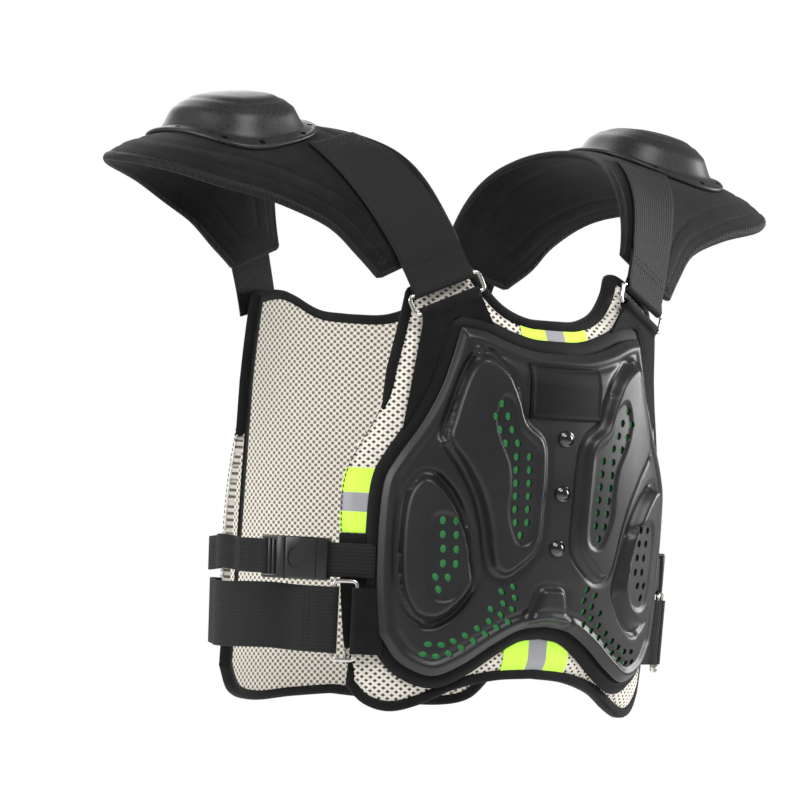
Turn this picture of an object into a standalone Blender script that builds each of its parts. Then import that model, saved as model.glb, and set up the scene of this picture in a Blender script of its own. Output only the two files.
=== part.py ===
"""Motorcycle armour vest as it is worn: front and back panels, shoulder pads with caps, and belts.

Metres, +Z up, the wearer faces -Y and their left side is +X. The origin lies between the two
shoulders, at the height where the vest rests on them.
"""

import math

import bmesh
import bpy
import numpy as np
from mathutils import Vector

# Torso that the vest is shaped to: half girths of its oval sections
TORSO_HALF_WIDTH = 0.172
TORSO_FRONT_DEPTH = 0.133
TORSO_BACK_DEPTH = 0.120
TORSO_BOTTOM_DROP = 0.460

# Layers, measured outward from the torso
PAD_THICKNESS = 0.010
PAD_EDGE_THICKNESS = 0.006
LAYER_GAP = 0.0010
SEAM_GAP = 0.0005
CARRIER_THICKNESS = 0.0025
CARRIER_MARGIN = 0.007
LINER_THICKNESS = 0.0008
PLATE_WALL = 0.0032
BINDING_WIDTH = 0.005
BINDING_PROUD = 0.0008

# Chest plate, and the pad that reaches past it above, below and beside
CHEST_PLATE_HALF_WIDTH = 0.123
CHEST_PLATE_HEIGHT = 0.254
CHEST_PLATE_TOP = -0.148
PAD_ABOVE_PLATE = 0.048
PAD_BELOW_PLATE = 0.027
PAD_BESIDE_PLATE = 0.033
CHEST_PAD_HALF_WIDTH = CHEST_PLATE_HALF_WIDTH + PAD_BESIDE_PLATE
CHEST_PAD_HEIGHT = PAD_ABOVE_PLATE + CHEST_PLATE_HEIGHT + PAD_BELOW_PLATE
CHEST_PAD_TOP = CHEST_PLATE_TOP + PAD_ABOVE_PLATE
PLATE_RIM_WIDTH = 0.010
PLATE_RIM_RISE = 0.0035
PLATE_CROWN = 0.0060
PANEL_RISE = 0.0065
PANEL_WALL_SLOPE = 0.0042
HOLE_LENGTH = 0.0062
HOLE_WIDTH = 0.0042
BADGE_WIDTH = 0.056
BADGE_HEIGHT = 0.040
BADGE_THICKNESS = 0.0018
SNAP_RADIUS = 0.0055
SNAP_HEIGHT = 0.0030
SNAP_PITCH = 0.040
TAPE_WIDTH = 0.056
TAPE_THICKNESS = 0.0010

# Back pad and back plate
BACK_PAD_HALF_WIDTH = 0.140
BACK_PAD_HEIGHT = 0.310
BACK_PAD_TOP = -0.122
BACK_PLATE_HALF_WIDTH = 0.112
BACK_PLATE_HEIGHT = 0.258
BACK_PLATE_TOP = -0.145

# Wire rings, straps, belts and webbing
WIRE_RADIUS = 0.0015
WEB_CLEARANCE = 0.0004
STRAP_WIDTH = 0.047
STRAP_THICKNESS = 0.0024
SHOULDER_RING_WIDTH = 0.059
SHOULDER_RING_HEIGHT = 0.017
RING_CORNER = 0.0030
WAIST_RING_SPACING = 0.015
RING_BESIDE_PLATE = 0.019
WAIST_RING_GIRTH = CHEST_PLATE_HALF_WIDTH + RING_BESIDE_PLATE
WAIST_RING_HEIGHT = 0.060
BELT_WIDTH = 0.048
BELT_ABOVE_PLATE_FOOT = 0.037
BELT_DROP = CHEST_PLATE_HEIGHT - CHEST_PLATE_TOP - BELT_ABOVE_PLATE_FOOT
BELT_THICKNESS = 0.0024
BELT_SLOPE_LENGTH = 0.038
BELT_REST_LENGTH = 0.004
BELT_DOWN_LENGTH = 0.045
BELT_UP_LENGTH = 0.055
BELT_UP_START = 0.070
BUCKLE_STRAP_WIDTH = 0.025
BUCKLE_ABOVE_BELT = 0.0435
BUCKLE_STRAP_DROP = BELT_DROP - BUCKLE_ABOVE_BELT
BUCKLE_STRAP_THICKNESS = 0.0020
BUCKLE_LENGTH = 0.030
BUCKLE_WIDTH = 0.031
BUCKLE_THICKNESS = 0.0100
BUCKLE_POCKET = 0.0055
BUCKLE_TONGUE = 0.011
LADDER_THICKNESS = 0.0032
LADDER_LENGTH = 0.0190
LADDER_RAIL = 0.0026
LADDER_SLOT = 0.0038
LADDER_BAR = 0.0030
FLANK_LIFT = 0.0030
SIDE_PANEL_HEIGHT = 0.083
SIDE_PANEL_THICKNESS = 0.0018
BACK_SEWN_LENGTH = 0.022

# Counts of rows and stations
OUTLINE_STEPS = 48
RUN_STEPS = 22
TAB_NECK_STEPS = 2
TAB_ARM_STEPS = 3

# Shoulders: run of the straps, padded wing and hard cap
RING_GIRTH = 0.086
RING_DROP = 0.127
SHOULDER_SPREAD = 0.152
SHOULDER_SETBACK = 0.022
SHOULDER_SLOPE = 4.5
BACK_STRAP_GIRTH = 0.086
WING_REACH = 0.131
WING_INNER_MARGIN = 0.009
WING_THICKNESS = 0.009
WING_EDGE_THICKNESS = 0.0045
WING_SAG = 0.019
CAP_LENGTH = 0.116
CAP_BREADTH = 0.106
CAP_RISE = 0.021
CAP_WALL = 0.0025
CAP_FLANGE = 0.009
CAP_OUTSET = 0.038
CAP_HOLE_RADIUS = 0.0024
CAP_HOLES = 10

# Torso sections: share of the drop, of the half width, and of the front depth
TORSO_SECTIONS = (
    # drop, width, depth
    (0.000, 0.960, 0.620),
    (0.130, 0.975, 0.790),
    (0.217, 0.985, 0.910),
    (0.261, 0.990, 0.965),
    (0.326, 1.000, 1.000),
    (0.478, 1.000, 1.015),
    (0.652, 0.990, 1.000),
    (0.826, 0.975, 0.975),
    (1.000, 0.960, 0.950),
)

# Half outlines, from the centre line outward: shares of the half width and of the height.
# Each has a top edge, a side from the top corner down, and a bottom edge back to the centre.
CHEST_PAD = {
    "top": ((0.000, 0.878), (0.140, 0.881), (0.260, 0.905), (0.350, 0.950), (0.410, 0.992),
            (0.480, 0.990), (0.600, 0.962), (0.718, 0.930)),
    "side": ((0.718, 0.930), (0.744, 0.869), (0.782, 0.781), (0.818, 0.705), (0.880, 0.635),
             (0.968, 0.550), (1.000, 0.483), (0.996, 0.365), (0.972, 0.210), (0.950, 0.112),
             (0.912, 0.052)),
    "bottom": ((0.912, 0.052), (0.827, 0.014), (0.705, 0.000), (0.564, 0.018), (0.397, 0.055),
               (0.200, 0.078), (0.000, 0.085)),
}
CHEST_PLATE = {
    "top": ((0.000, 0.937), (0.170, 0.941), (0.330, 0.962), (0.470, 0.990), (0.602, 1.000)),
    "side": ((0.602, 1.000), (0.650, 0.906), (0.707, 0.815), (0.800, 0.717), (0.925, 0.614),
             (0.984, 0.543), (1.000, 0.402), (0.992, 0.224), (0.967, 0.110)),
    "bottom": ((0.967, 0.110), (0.850, 0.034), (0.670, 0.000), (0.500, 0.035), (0.320, 0.098),
               (0.160, 0.142), (0.000, 0.154)),
}
BACK_PAD = {
    "top": ((0.000, 0.955), (0.220, 0.960), (0.420, 0.990), (0.560, 1.000), (0.760, 0.985)),
    "side": ((0.760, 0.985), (0.800, 0.860), (0.850, 0.700), (0.960, 0.520), (1.000, 0.380),
             (1.000, 0.200), (0.950, 0.080)),
    "bottom": ((0.950, 0.080), (0.820, 0.018), (0.600, 0.000), (0.300, 0.010), (0.000, 0.020)),
}
BACK_PLATE = {
    "top": ((0.000, 0.970), (0.300, 0.978), (0.560, 1.000), (0.780, 0.990)),
    "side": ((0.780, 0.990), (0.800, 0.850), (0.850, 0.680), (0.960, 0.500), (1.000, 0.360),
             (1.000, 0.180), (0.930, 0.070)),
    "bottom": ((0.930, 0.070), (0.760, 0.010), (0.500, 0.000), (0.250, 0.008), (0.000, 0.015)),
}

# Raised panels of the chest plate's one half: shares of the plate's half width and height.
# The four sides of each run round it: inner side down, bottom outward, outer side up, top inward.
PECTORAL_PANEL = {
    "inner": ((0.395, 0.900), (0.325, 0.862), (0.275, 0.795), (0.240, 0.738), (0.140, 0.690),
              (0.117, 0.610), (0.114, 0.500), (0.118, 0.420), (0.140, 0.366)),
    "bottom": ((0.140, 0.366), (0.225, 0.320), (0.300, 0.296), (0.370, 0.312)),
    "outer": ((0.370, 0.312), (0.405, 0.370), (0.430, 0.440), (0.480, 0.520), (0.560, 0.600),
              (0.660, 0.672), (0.640, 0.740), (0.585, 0.850), (0.525, 0.905)),
    "top": ((0.525, 0.905), (0.480, 0.922), (0.435, 0.922), (0.395, 0.900)),
}
FLANK_POD = {
    "inner": ((0.690, 0.555), (0.610, 0.505), (0.540, 0.430), (0.495, 0.330), (0.480, 0.265)),
    "bottom": ((0.480, 0.265), (0.560, 0.200), (0.670, 0.162), (0.780, 0.172)),
    "outer": ((0.780, 0.172), (0.850, 0.235), (0.878, 0.330), (0.878, 0.440), (0.850, 0.520)),
    "top": ((0.850, 0.520), (0.800, 0.562), (0.745, 0.570), (0.690, 0.555)),
}
SPINE_BLOCK = {
    "inner": ((-0.068, 0.258), (-0.095, 0.215), (-0.132, 0.165)),
    "bottom": ((-0.132, 0.165), (0.000, 0.172), (0.132, 0.165)),
    "outer": ((0.132, 0.165), (0.095, 0.215), (0.068, 0.258)),
    "top": ((0.068, 0.258), (0.000, 0.262), (-0.068, 0.258)),
}

# Vent holes of the plate's one half: share of half width, of height, and lean in degrees
VENT_HOLES = (
    # across, up, lean
    (0.395, 0.782, 0), (0.425, 0.730, 8), (0.350, 0.738, 8), (0.304, 0.690, 14),
    (0.306, 0.636, 0), (0.232, 0.640, 0), (0.300, 0.584, 0), (0.226, 0.588, 0),
    (0.294, 0.532, 0), (0.222, 0.536, 0), (0.288, 0.480, 0), (0.218, 0.484, 0),
    (0.252, 0.430, 0),
    (0.668, 0.424, 0), (0.596, 0.426, 0), (0.658, 0.372, 0), (0.590, 0.374, 0),
    (0.650, 0.320, 0), (0.584, 0.322, 0), (0.622, 0.268, 20),
    (0.700, 0.066, 66), (0.620, 0.070, 62), (0.600, 0.116, 62), (0.525, 0.102, 60),
    (0.505, 0.148, 60), (0.430, 0.132, 58), (0.412, 0.178, 56), (0.338, 0.162, 54),
    (0.320, 0.206, 52), (0.250, 0.192, 50),
)

# Wing of the shoulder pad: share of the run from chest to back, and of the reach
WING_OUTLINE = (
    # run, reach
    (0.060, 0.310), (0.120, 0.350), (0.200, 0.410), (0.280, 0.590), (0.360, 0.860),
    (0.440, 1.000), (0.520, 1.000), (0.600, 0.850), (0.680, 0.570), (0.760, 0.400),
    (0.840, 0.330), (0.900, 0.235),
)

SIDES = (("right", -1), ("left", 1))
COLOURS = {
    "spacer_mesh": ((0.80, 0.79, 0.74), 0.9, 0.0),
    "black_fabric": ((0.015, 0.015, 0.016), 0.9, 0.0),
    "black_foam": ((0.018, 0.018, 0.018), 0.6, 0.0),
    "grey_shell": ((0.055, 0.055, 0.057), 0.42, 0.0),
    "green_liner": ((0.03, 0.30, 0.08), 0.9, 0.0),
    "hi_vis_tape": ((0.55, 1.00, 0.06), 0.7, 0.0),
    "black_webbing": ((0.016, 0.016, 0.017), 0.85, 0.0),
    "black_plastic": ((0.020, 0.020, 0.020), 0.35, 0.0),
    "plated_wire": ((0.60, 0.60, 0.60), 0.25, 1.0),
    "rubber_badge": ((0.030, 0.030, 0.031), 0.7, 0.0),
}


def clear_scene():
    for thing in list(bpy.data.objects):
        bpy.data.objects.remove(thing, do_unlink=True)


def material(name):
    found = bpy.data.materials.get(name)
    if found:
        return found
    colour, roughness, metallic = COLOURS[name]
    made = bpy.data.materials.new(name)
    made.use_nodes = True
    shader = made.node_tree.nodes["Principled BSDF"]
    shader.inputs["Base Color"].default_value = (*colour, 1.0)
    shader.inputs["Roughness"].default_value = roughness
    shader.inputs["Metallic"].default_value = metallic
    return made


def add_object(name, points, faces, slot):
    """A named object from points and faces, its normals pointing out."""
    mesh = bpy.data.meshes.new(name)
    mesh.from_pydata([tuple(p) for p in points], [], faces)
    shell = bmesh.new()
    shell.from_mesh(mesh)
    bmesh.ops.recalc_face_normals(shell, faces=shell.faces)
    bmesh.ops.triangulate(shell, faces=shell.faces)
    shell.to_mesh(mesh)
    shell.free()
    mesh.materials.append(material(slot))
    thing = bpy.data.objects.new(name, mesh)
    bpy.context.scene.collection.objects.link(thing)
    mesh.shade_smooth()
    mesh.set_sharp_from_angle(angle=math.radians(35))
    return thing


def smooth_step(value):
    value = min(1.0, max(0.0, value))
    return value * value * (3 - 2 * value)


def section_share(z, column):
    """Share of a torso size at height z, read from the section table."""
    drops = [row[0] for row in TORSO_SECTIONS]
    shares = [row[column] for row in TORSO_SECTIONS]
    return float(np.interp(-z / TORSO_BOTTOM_DROP, drops, shares))


def girth_table(depth):
    """Angles and lengths along half an oval, from its middle outward."""
    angles = np.linspace(0.0, math.pi / 2, 181)
    steps = np.hypot(TORSO_HALF_WIDTH * np.cos(angles), depth * np.sin(angles))
    lengths = np.concatenate([[0.0], np.cumsum((steps[1:] + steps[:-1]) / 2 * np.diff(angles))])
    return angles, lengths


FRONT_GIRTH = girth_table(TORSO_FRONT_DEPTH)
BACK_GIRTH = girth_table(TORSO_BACK_DEPTH)


def oval_angle(girth):
    """Angle from the centre front, for a girth that may run round the side to the back."""
    front_angles, front_lengths = FRONT_GIRTH
    back_angles, back_lengths = BACK_GIRTH
    reach = abs(girth)
    if reach <= front_lengths[-1]:
        angle = float(np.interp(reach, front_lengths, front_angles))
    else:
        rest = back_lengths[-1] - (reach - front_lengths[-1])
        angle = math.pi - float(np.interp(rest, back_lengths, back_angles))
    return math.copysign(angle, girth)


def half_girth():
    return float(FRONT_GIRTH[1][-1] + BACK_GIRTH[1][-1])


def on_torso(girth, z, lift):
    """Point at a girth from the centre front, a height, and a lift off the torso."""
    angle = oval_angle(girth)
    width = TORSO_HALF_WIDTH * section_share(z, 1)
    front = TORSO_FRONT_DEPTH * section_share(z, 2)
    depth = front if abs(angle) <= math.pi / 2 else TORSO_BACK_DEPTH
    return Vector(((width + lift) * math.sin(angle), -(depth + lift) * math.cos(angle), z))


def on_back(girth, z, lift):
    """The same for the back, with the girth counted from the centre back."""
    return on_torso(math.copysign(half_girth() - abs(girth), girth), z, lift)


def torso_normal(place, girth, z):
    step = 0.001
    across = place(girth + step, z, 0.0) - place(girth - step, z, 0.0)
    upward = place(girth, z + step, 0.0) - place(girth, z - step, 0.0)
    normal = across.cross(upward).normalized()
    outward = place(girth, z, 0.01) - place(girth, z, 0.0)
    return normal if normal.dot(outward) > 0 else -normal


def curve_through(points, count):
    """Points evenly spaced along a smooth curve through the given ones."""
    knots = np.array(points, float)
    padded = np.vstack([2 * knots[0] - knots[1], knots, 2 * knots[-1] - knots[-2]])
    dense = []
    for k in range(len(knots) - 1):
        p0, p1, p2, p3 = padded[k:k + 4]
        for t in np.linspace(0.0, 1.0, 12, endpoint=False):
            dense.append(0.5 * (2 * p1 + (p2 - p0) * t + (2 * p0 - 5 * p1 + 4 * p2 - p3) * t * t
                                + (3 * p1 - p0 - 3 * p2 + p3) * t ** 3))
    dense.append(knots[-1])
    dense = np.array(dense)
    lengths = np.concatenate([[0.0], np.cumsum(np.linalg.norm(np.diff(dense, axis=0), axis=1))])
    wanted = np.linspace(0.0, lengths[-1], count)
    return np.stack([np.interp(wanted, lengths, dense[:, k]) for k in range(dense.shape[1])], axis=1)


def half_sides(table, half_width, height, top):
    """The four sides of a mirrored panel in girth and height: top, left, bottom, right."""
    size = np.array([half_width, height])
    base = np.array([0.0, top - height])
    mirror = np.array([-1.0, 1.0])

    def read(rows, count):
        return curve_through(np.array(rows) * size + base, count)

    half = OUTLINE_STEPS // 2 + 1
    right_top = read(table["top"], half)
    right_side = read(table["side"], OUTLINE_STEPS + 1)
    right_bottom = read(table["bottom"], half)
    top_side = np.vstack([right_top[::-1] * mirror, right_top[1:]])
    bottom_side = np.vstack([right_bottom * mirror, right_bottom[::-1][1:]])
    return {
        "top": top_side,
        "bottom": bottom_side,
        "left": right_side[::-1] * mirror,
        "right": right_side[::-1],
    }


def panel_sides(table, half_width, height, top, across, upward):
    """The four sides of a one-sided panel in girth and height, read as in half_sides."""
    size = np.array([half_width, height])
    base = np.array([0.0, top - height])

    def read(rows, count):
        return curve_through(np.array(rows) * size + base, count)

    return {
        "left": read(table["inner"], upward + 1)[::-1],
        "bottom": read(table["bottom"], across + 1),
        "right": read(table["outer"], upward + 1),
        "top": read(table["top"], across + 1)[::-1],
    }


def loop_of(sides):
    """The panel's outline as one loop, anticlockwise as seen from outside."""
    return np.vstack([
        sides["bottom"][:-1], sides["right"][:-1], sides["top"][::-1][:-1], sides["left"][::-1][:-1],
    ])


def loop_normals(loop):
    ahead = np.roll(loop, -1, axis=0) - loop
    behind = loop - np.roll(loop, 1, axis=0)
    ahead /= np.linalg.norm(ahead, axis=1)[:, None]
    behind /= np.linalg.norm(behind, axis=1)[:, None]
    along = ahead + behind
    along /= np.linalg.norm(along, axis=1)[:, None]
    return np.stack([along[:, 1], -along[:, 0]], axis=1)


def grown(sides, margin):
    """The sides moved outward by a margin."""
    loop = loop_of(sides)
    moved = loop + loop_normals(loop) * margin
    across, upward = len(sides["bottom"]) - 1, len(sides["right"]) - 1
    closed = np.vstack([moved, moved[:1]])
    return {
        "bottom": closed[:across + 1],
        "right": closed[across:across + upward + 1],
        "top": closed[across + upward:2 * across + upward + 1][::-1],
        "left": closed[2 * across + upward:][::-1],
    }


def grid_loop(grid):
    """The boundary of a grid as one loop, anticlockwise as seen from outside."""
    return np.vstack([grid[0, :-1], grid[:-1, -1], grid[-1, :0:-1], grid[:0:-1, 0]])


def coons(sides, across_shares=None, upward_shares=None):
    """A grid of girth and height points that fills four sides, rows from the bottom up."""
    bottom, top, left, right = (sides[k] for k in ("bottom", "top", "left", "right"))

    def at(side, share):
        place = share * (len(side) - 1)
        return np.array([np.interp(place, range(len(side)), side[:, k]) for k in range(2)])

    s_values = across_shares if across_shares is not None else np.linspace(0, 1, len(bottom))
    t_values = upward_shares if upward_shares is not None else np.linspace(0, 1, len(left))
    grid = np.zeros((len(t_values), len(s_values), 2))
    for i, t in enumerate(t_values):
        for j, s in enumerate(s_values):
            ruled = (1 - t) * at(bottom, s) + t * at(top, s) + (1 - s) * at(left, t) + s * at(right, t)
            corners = ((1 - s) * (1 - t) * bottom[0] + s * (1 - t) * bottom[-1]
                       + (1 - s) * t * top[0] + s * t * top[-1])
            grid[i, j] = ruled - corners
    return grid


def edge_shares(count, first):
    """Grid shares from 0 to 1 whose first and last step are the given one."""
    return np.concatenate([[0.0], np.linspace(first, 1 - first, count - 1), [1.0]])


def slab(name, outer, inner, slot):
    """A closed solid between two grids of points of the same shape."""
    rows, columns = len(outer), len(outer[0])
    points = [p for row in outer for p in row] + [p for row in inner for p in row]
    back = rows * columns

    def at(i, j):
        return i * columns + j

    faces = []
    for i in range(rows - 1):
        for j in range(columns - 1):
            a, b, c, d = at(i, j), at(i, j + 1), at(i + 1, j + 1), at(i + 1, j)
            faces.append((a, b, c, d))
            faces.append((back + d, back + c, back + b, back + a))
    rim = ([at(0, j) for j in range(columns - 1)] + [at(i, columns - 1) for i in range(rows - 1)]
           + [at(rows - 1, j) for j in range(columns - 1, 0, -1)] + [at(i, 0) for i in range(rows - 1, 0, -1)])
    for k, a in enumerate(rim):
        b = rim[(k + 1) % len(rim)]
        faces.append((b, a, back + a, back + b))
    return add_object(name, points, faces, slot)


def placed(grid, place, lift):
    """A grid of girth and height points put on the torso; lift is a number or a function."""
    lifted = lift if callable(lift) else (lambda girth, z: lift)
    return [[place(u, z, lifted(u, z)) for u, z in row] for row in grid]


def tube(name, path, section, slot):
    """A closed tube: section(k) gives the ring of points at step k of a closed path."""
    rings = [section(k) for k in range(len(path))]
    size = len(rings[0])
    points = [p for ring in rings for p in ring]
    faces = []
    for k in range(len(rings)):
        m = (k + 1) % len(rings)
        for j in range(size):
            n = (j + 1) % size
            faces.append((k * size + j, k * size + n, m * size + n, m * size + j))
    return add_object(name, points, faces, slot)


def boolean(target, other, operation):
    """Joins or cuts target with other, applies it, and removes other."""
    step = target.modifiers.new(operation.lower(), "BOOLEAN")
    step.operation = operation
    step.solver = "EXACT"
    step.object = other
    evaluated = target.evaluated_get(bpy.context.evaluated_depsgraph_get())
    mesh = bpy.data.meshes.new_from_object(evaluated)
    target.modifiers.clear()
    target.data = mesh
    bpy.data.objects.remove(other, do_unlink=True)
    mesh.shade_smooth()
    mesh.set_sharp_from_angle(angle=math.radians(35))


def prisms(name, outlines, slot="black_foam"):
    """Many separate prisms as one object, for a cutter: each is two rings of points."""
    points, faces = [], []
    for low, high in outlines:
        base, count = len(points), len(low)
        points += list(low) + list(high)
        faces.append(tuple(base + k for k in reversed(range(count))))
        faces.append(tuple(base + count + k for k in range(count)))
        for k in range(count):
            n = (k + 1) % count
            faces.append((base + k, base + n, base + count + n, base + count + k))
    return add_object(name, points, faces, slot)


def layer_lift():
    """Where the layer on the pads starts: tapes, tabs, carriers and side panels lie in it."""
    return PAD_THICKNESS + LAYER_GAP


def plate_seat():
    return layer_lift() + CARRIER_THICKNESS + LAYER_GAP


def seam(gaps):
    """Clearance from a loop to a neighbour's edge, in whole seam gaps."""
    return gaps * SEAM_GAP


def pad(name, table, half_width, height, top, place, across, upward):
    """A padded panel with its edge thinned for the binding; returns its edge loop."""
    sides = grown(half_sides(table, half_width, height, top), -BINDING_WIDTH)
    grid = coons(sides, edge_shares(across, 0.035), edge_shares(upward, 0.030))

    def lift(i, j):
        return PAD_EDGE_THICKNESS if i in (0, upward) or j in (0, across) else PAD_THICKNESS

    outer = [[place(*grid[i, j], lift(i, j)) for j in range(across + 1)] for i in range(upward + 1)]
    slab(name, outer, placed(grid, place, 0.0), "spacer_mesh")
    return grid_loop(grid)


def binding(name, loop, place):
    """The tape round a pad's edge, seated against it."""
    normals = loop_normals(loop)
    corners = ((SEAM_GAP, 0.0), (BINDING_WIDTH, 0.0), (BINDING_WIDTH, PAD_EDGE_THICKNESS * 0.7),
               (SEAM_GAP, PAD_EDGE_THICKNESS + BINDING_PROUD))

    def section(k):
        return [place(*(loop[k] + normals[k] * out), lift) for out, lift in corners]

    tube(name, loop, section, "black_fabric")


def chest_plate_sides():
    return half_sides(CHEST_PLATE, CHEST_PLATE_HALF_WIDTH, CHEST_PLATE_HEIGHT, CHEST_PLATE_TOP)


def even_shares(steps):
    return np.linspace(0.0, 1.0, steps + 1)


def carrier(across, upward):
    """The black foam rim that the chest plate sits on; returns its edge loop."""
    grid = coons(grown(chest_plate_sides(), CARRIER_MARGIN), even_shares(across), even_shares(upward))
    low = layer_lift()
    slab("plate_carrier", placed(grid, on_torso, low + CARRIER_THICKNESS), placed(grid, on_torso, low),
         "black_foam")
    return grid_loop(grid)


def dished_shell(name, sides, place, half_width, height, seat, raised, across, upward):
    """A plate that sits on its rim: the rim at its seat, the face raised; returns the edge loop."""
    grid = coons(sides, edge_shares(across, PLATE_RIM_WIDTH / (2 * half_width)),
                 edge_shares(upward, PLATE_RIM_WIDTH / height))

    def lift(i, j):
        return seat if i in (0, upward) or j in (0, across) else raised(*grid[i, j])

    places = [[(grid[i, j], lift(i, j)) for j in range(across + 1)] for i in range(upward + 1)]
    outer = [[place(*spot, low + PLATE_WALL) for spot, low in row] for row in places]
    inner = [[place(*spot, low) for spot, low in row] for row in places]
    return slab(name, outer, inner, "grey_shell"), grid_loop(grid)


def plate_lift(u, z):
    """Height of the chest plate's underside over the torso: a raised rim and a gentle crown."""
    across = abs(u) / CHEST_PLATE_HALF_WIDTH
    up = (z - (CHEST_PLATE_TOP - CHEST_PLATE_HEIGHT)) / CHEST_PLATE_HEIGHT
    crown = PLATE_CROWN * max(0.0, 1 - across ** 2) * smooth_step(up / 0.65)
    return plate_seat() + PLATE_RIM_RISE + crown


def raised_panel(name, table, side, across, upward):
    """A raised panel whose walls slope in towards its top, sunk half a wall into the shell."""
    sides = panel_sides(table, CHEST_PLATE_HALF_WIDTH, CHEST_PLATE_HEIGHT, CHEST_PLATE_TOP,
                        across, upward)
    mirror = np.array([side, 1.0])
    foot = coons(sides) * mirror
    crest = coons(grown(sides, -PANEL_WALL_SLOPE)) * mirror
    low = placed(foot, on_torso, lambda u, z: plate_lift(u, z) + PLATE_WALL / 2)
    high = placed(crest, on_torso, lambda u, z: plate_lift(u, z) + PLATE_WALL + PANEL_RISE)
    return slab(name, high, low, "grey_shell")


def vent_cutter():
    """Lozenge holes through the plate, one prism for each row of the table and its mirror."""
    outlines = []
    for across, up, lean in VENT_HOLES:
        for side in (-1, 1):
            u = across * CHEST_PLATE_HALF_WIDTH * side
            z = CHEST_PLATE_TOP + (up - 1) * CHEST_PLATE_HEIGHT
            turn = math.radians(lean) * side
            long_way = np.array([math.sin(turn), math.cos(turn)]) * HOLE_LENGTH / 2
            short_way = np.array([math.cos(turn), -math.sin(turn)]) * HOLE_WIDTH / 2
            ring = [np.array([u, z]) + way for way in (long_way, short_way, -long_way, -short_way)]
            low = plate_lift(u, z) - PLATE_WALL
            high = plate_lift(u, z) + 2 * PLATE_WALL + PANEL_RISE
            outlines.append(([on_torso(*p, low) for p in ring], [on_torso(*p, high) for p in ring]))
    return prisms("vent_cutter", outlines)


def chest_plate():
    """The plate with its raised panels joined on and its vents cut through; returns its edge loop."""
    shell, loop = dished_shell("chest_plate", chest_plate_sides(), on_torso, CHEST_PLATE_HALF_WIDTH,
                               CHEST_PLATE_HEIGHT, plate_seat(), plate_lift, 14, 10)
    for side_name, side in SIDES:
        boolean(shell, raised_panel("pectoral_" + side_name, PECTORAL_PANEL, side, 3, 8), "UNION")
        boolean(shell, raised_panel("pod_" + side_name, FLANK_POD, side, 3, 5), "UNION")
    boolean(shell, raised_panel("spine_block", SPINE_BLOCK, 1, 2, 2), "UNION")
    boolean(shell, vent_cutter(), "DIFFERENCE")
    return loop


def vent_liner():
    """Green air mesh behind the vent holes, on the carrier and clear of the plate's rim."""
    grid = coons(grown(chest_plate_sides(), -1.2 * PLATE_RIM_WIDTH), even_shares(12), even_shares(6))
    low = layer_lift() + CARRIER_THICKNESS + LAYER_GAP
    slab("vent_liner", placed(grid, on_torso, low + LINER_THICKNESS), placed(grid, on_torso, low),
         "green_liner")


def badge():
    """Bare rubber badge below the plate's neck edge."""
    centre_z = CHEST_PLATE_TOP - 0.173 * CHEST_PLATE_HEIGHT
    us = np.linspace(-BADGE_WIDTH / 2, BADGE_WIDTH / 2, 5)
    zs = np.linspace(centre_z - BADGE_HEIGHT / 2, centre_z + BADGE_HEIGHT / 2, 3)
    grid = [[(u, z) for u in us] for z in zs]

    def seat(u, z):
        return plate_lift(u, z) + PLATE_WALL + SEAM_GAP

    slab("chest_badge", placed(grid, on_torso, lambda u, z: seat(u, z) + BADGE_THICKNESS),
         placed(grid, on_torso, seat), "rubber_badge")


def dome(name, centre, normal, radius, height, slot, turns=10, rings=3):
    """A snap head: a flat foot and a round top."""
    side = normal.orthogonal().normalized()
    other = normal.cross(side)
    points = [centre]
    for k in range(rings):
        angle = math.pi / 2 * k / rings
        r, h = radius * math.cos(angle), height * math.sin(angle)
        for j in range(turns):
            a = 2 * math.pi * j / turns
            points.append(centre + (side * math.cos(a) + other * math.sin(a)) * r + normal * h)
    points.append(centre + normal * height)
    faces = []
    for j in range(turns):
        n = (j + 1) % turns
        faces.append((0, 1 + n, 1 + j))
        for k in range(rings - 1):
            base = 1 + k * turns
            faces.append((base + j, base + n, base + turns + n, base + turns + j))
        last = 1 + (rings - 1) * turns
        faces.append((last + j, last + n, len(points) - 1))
    return add_object(name, points, faces, slot)


def chest_snaps():
    first = CHEST_PLATE_TOP - 0.305 * CHEST_PLATE_HEIGHT
    for k, name in enumerate(("upper", "middle", "lower")):
        z = first - k * SNAP_PITCH
        normal = torso_normal(on_torso, 0.0, z)
        centre = on_torso(0.0, z, plate_lift(0.0, z) + PLATE_WALL + SEAM_GAP)
        dome("chest_snap_" + name, centre, normal, SNAP_RADIUS, SNAP_HEIGHT, "black_plastic")


def edge_height(loop, u, top):
    """Height at which a loop crosses a girth, at its top or its bottom."""
    found = []
    for (u0, z0), (u1, z1) in zip(loop, np.roll(loop, -1, axis=0)):
        if (u0 - u) * (u1 - u) <= 0 and u0 != u1:
            found.append(z0 + (z1 - z0) * (u - u0) / (u1 - u0))
    return max(found) if top else min(found)


def edge_girth(loop, z):
    """Outermost girth at which a loop crosses a height, on the left side of the wearer."""
    found = []
    for (u0, z0), (u1, z1) in zip(loop, np.roll(loop, -1, axis=0)):
        if (z0 - z) * (z1 - z) <= 0 and z0 != z1:
            found.append(u0 + (u1 - u0) * (z - z0) / (z1 - z0))
    return max(found)


def heights_between(loop, low, high):
    """The two heights, and those of the loop's left corners between them."""
    inside = [z for u, z in loop if u > 0.5 * max(loop[:, 0]) and low + 0.002 < z < high - 0.002]
    return [low] + sorted(inside) + [high]


def layer_slab(name, grid, thickness, slot):
    low = layer_lift()
    slab(name, placed(grid, on_torso, low + thickness), placed(grid, on_torso, low), slot)


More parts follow.
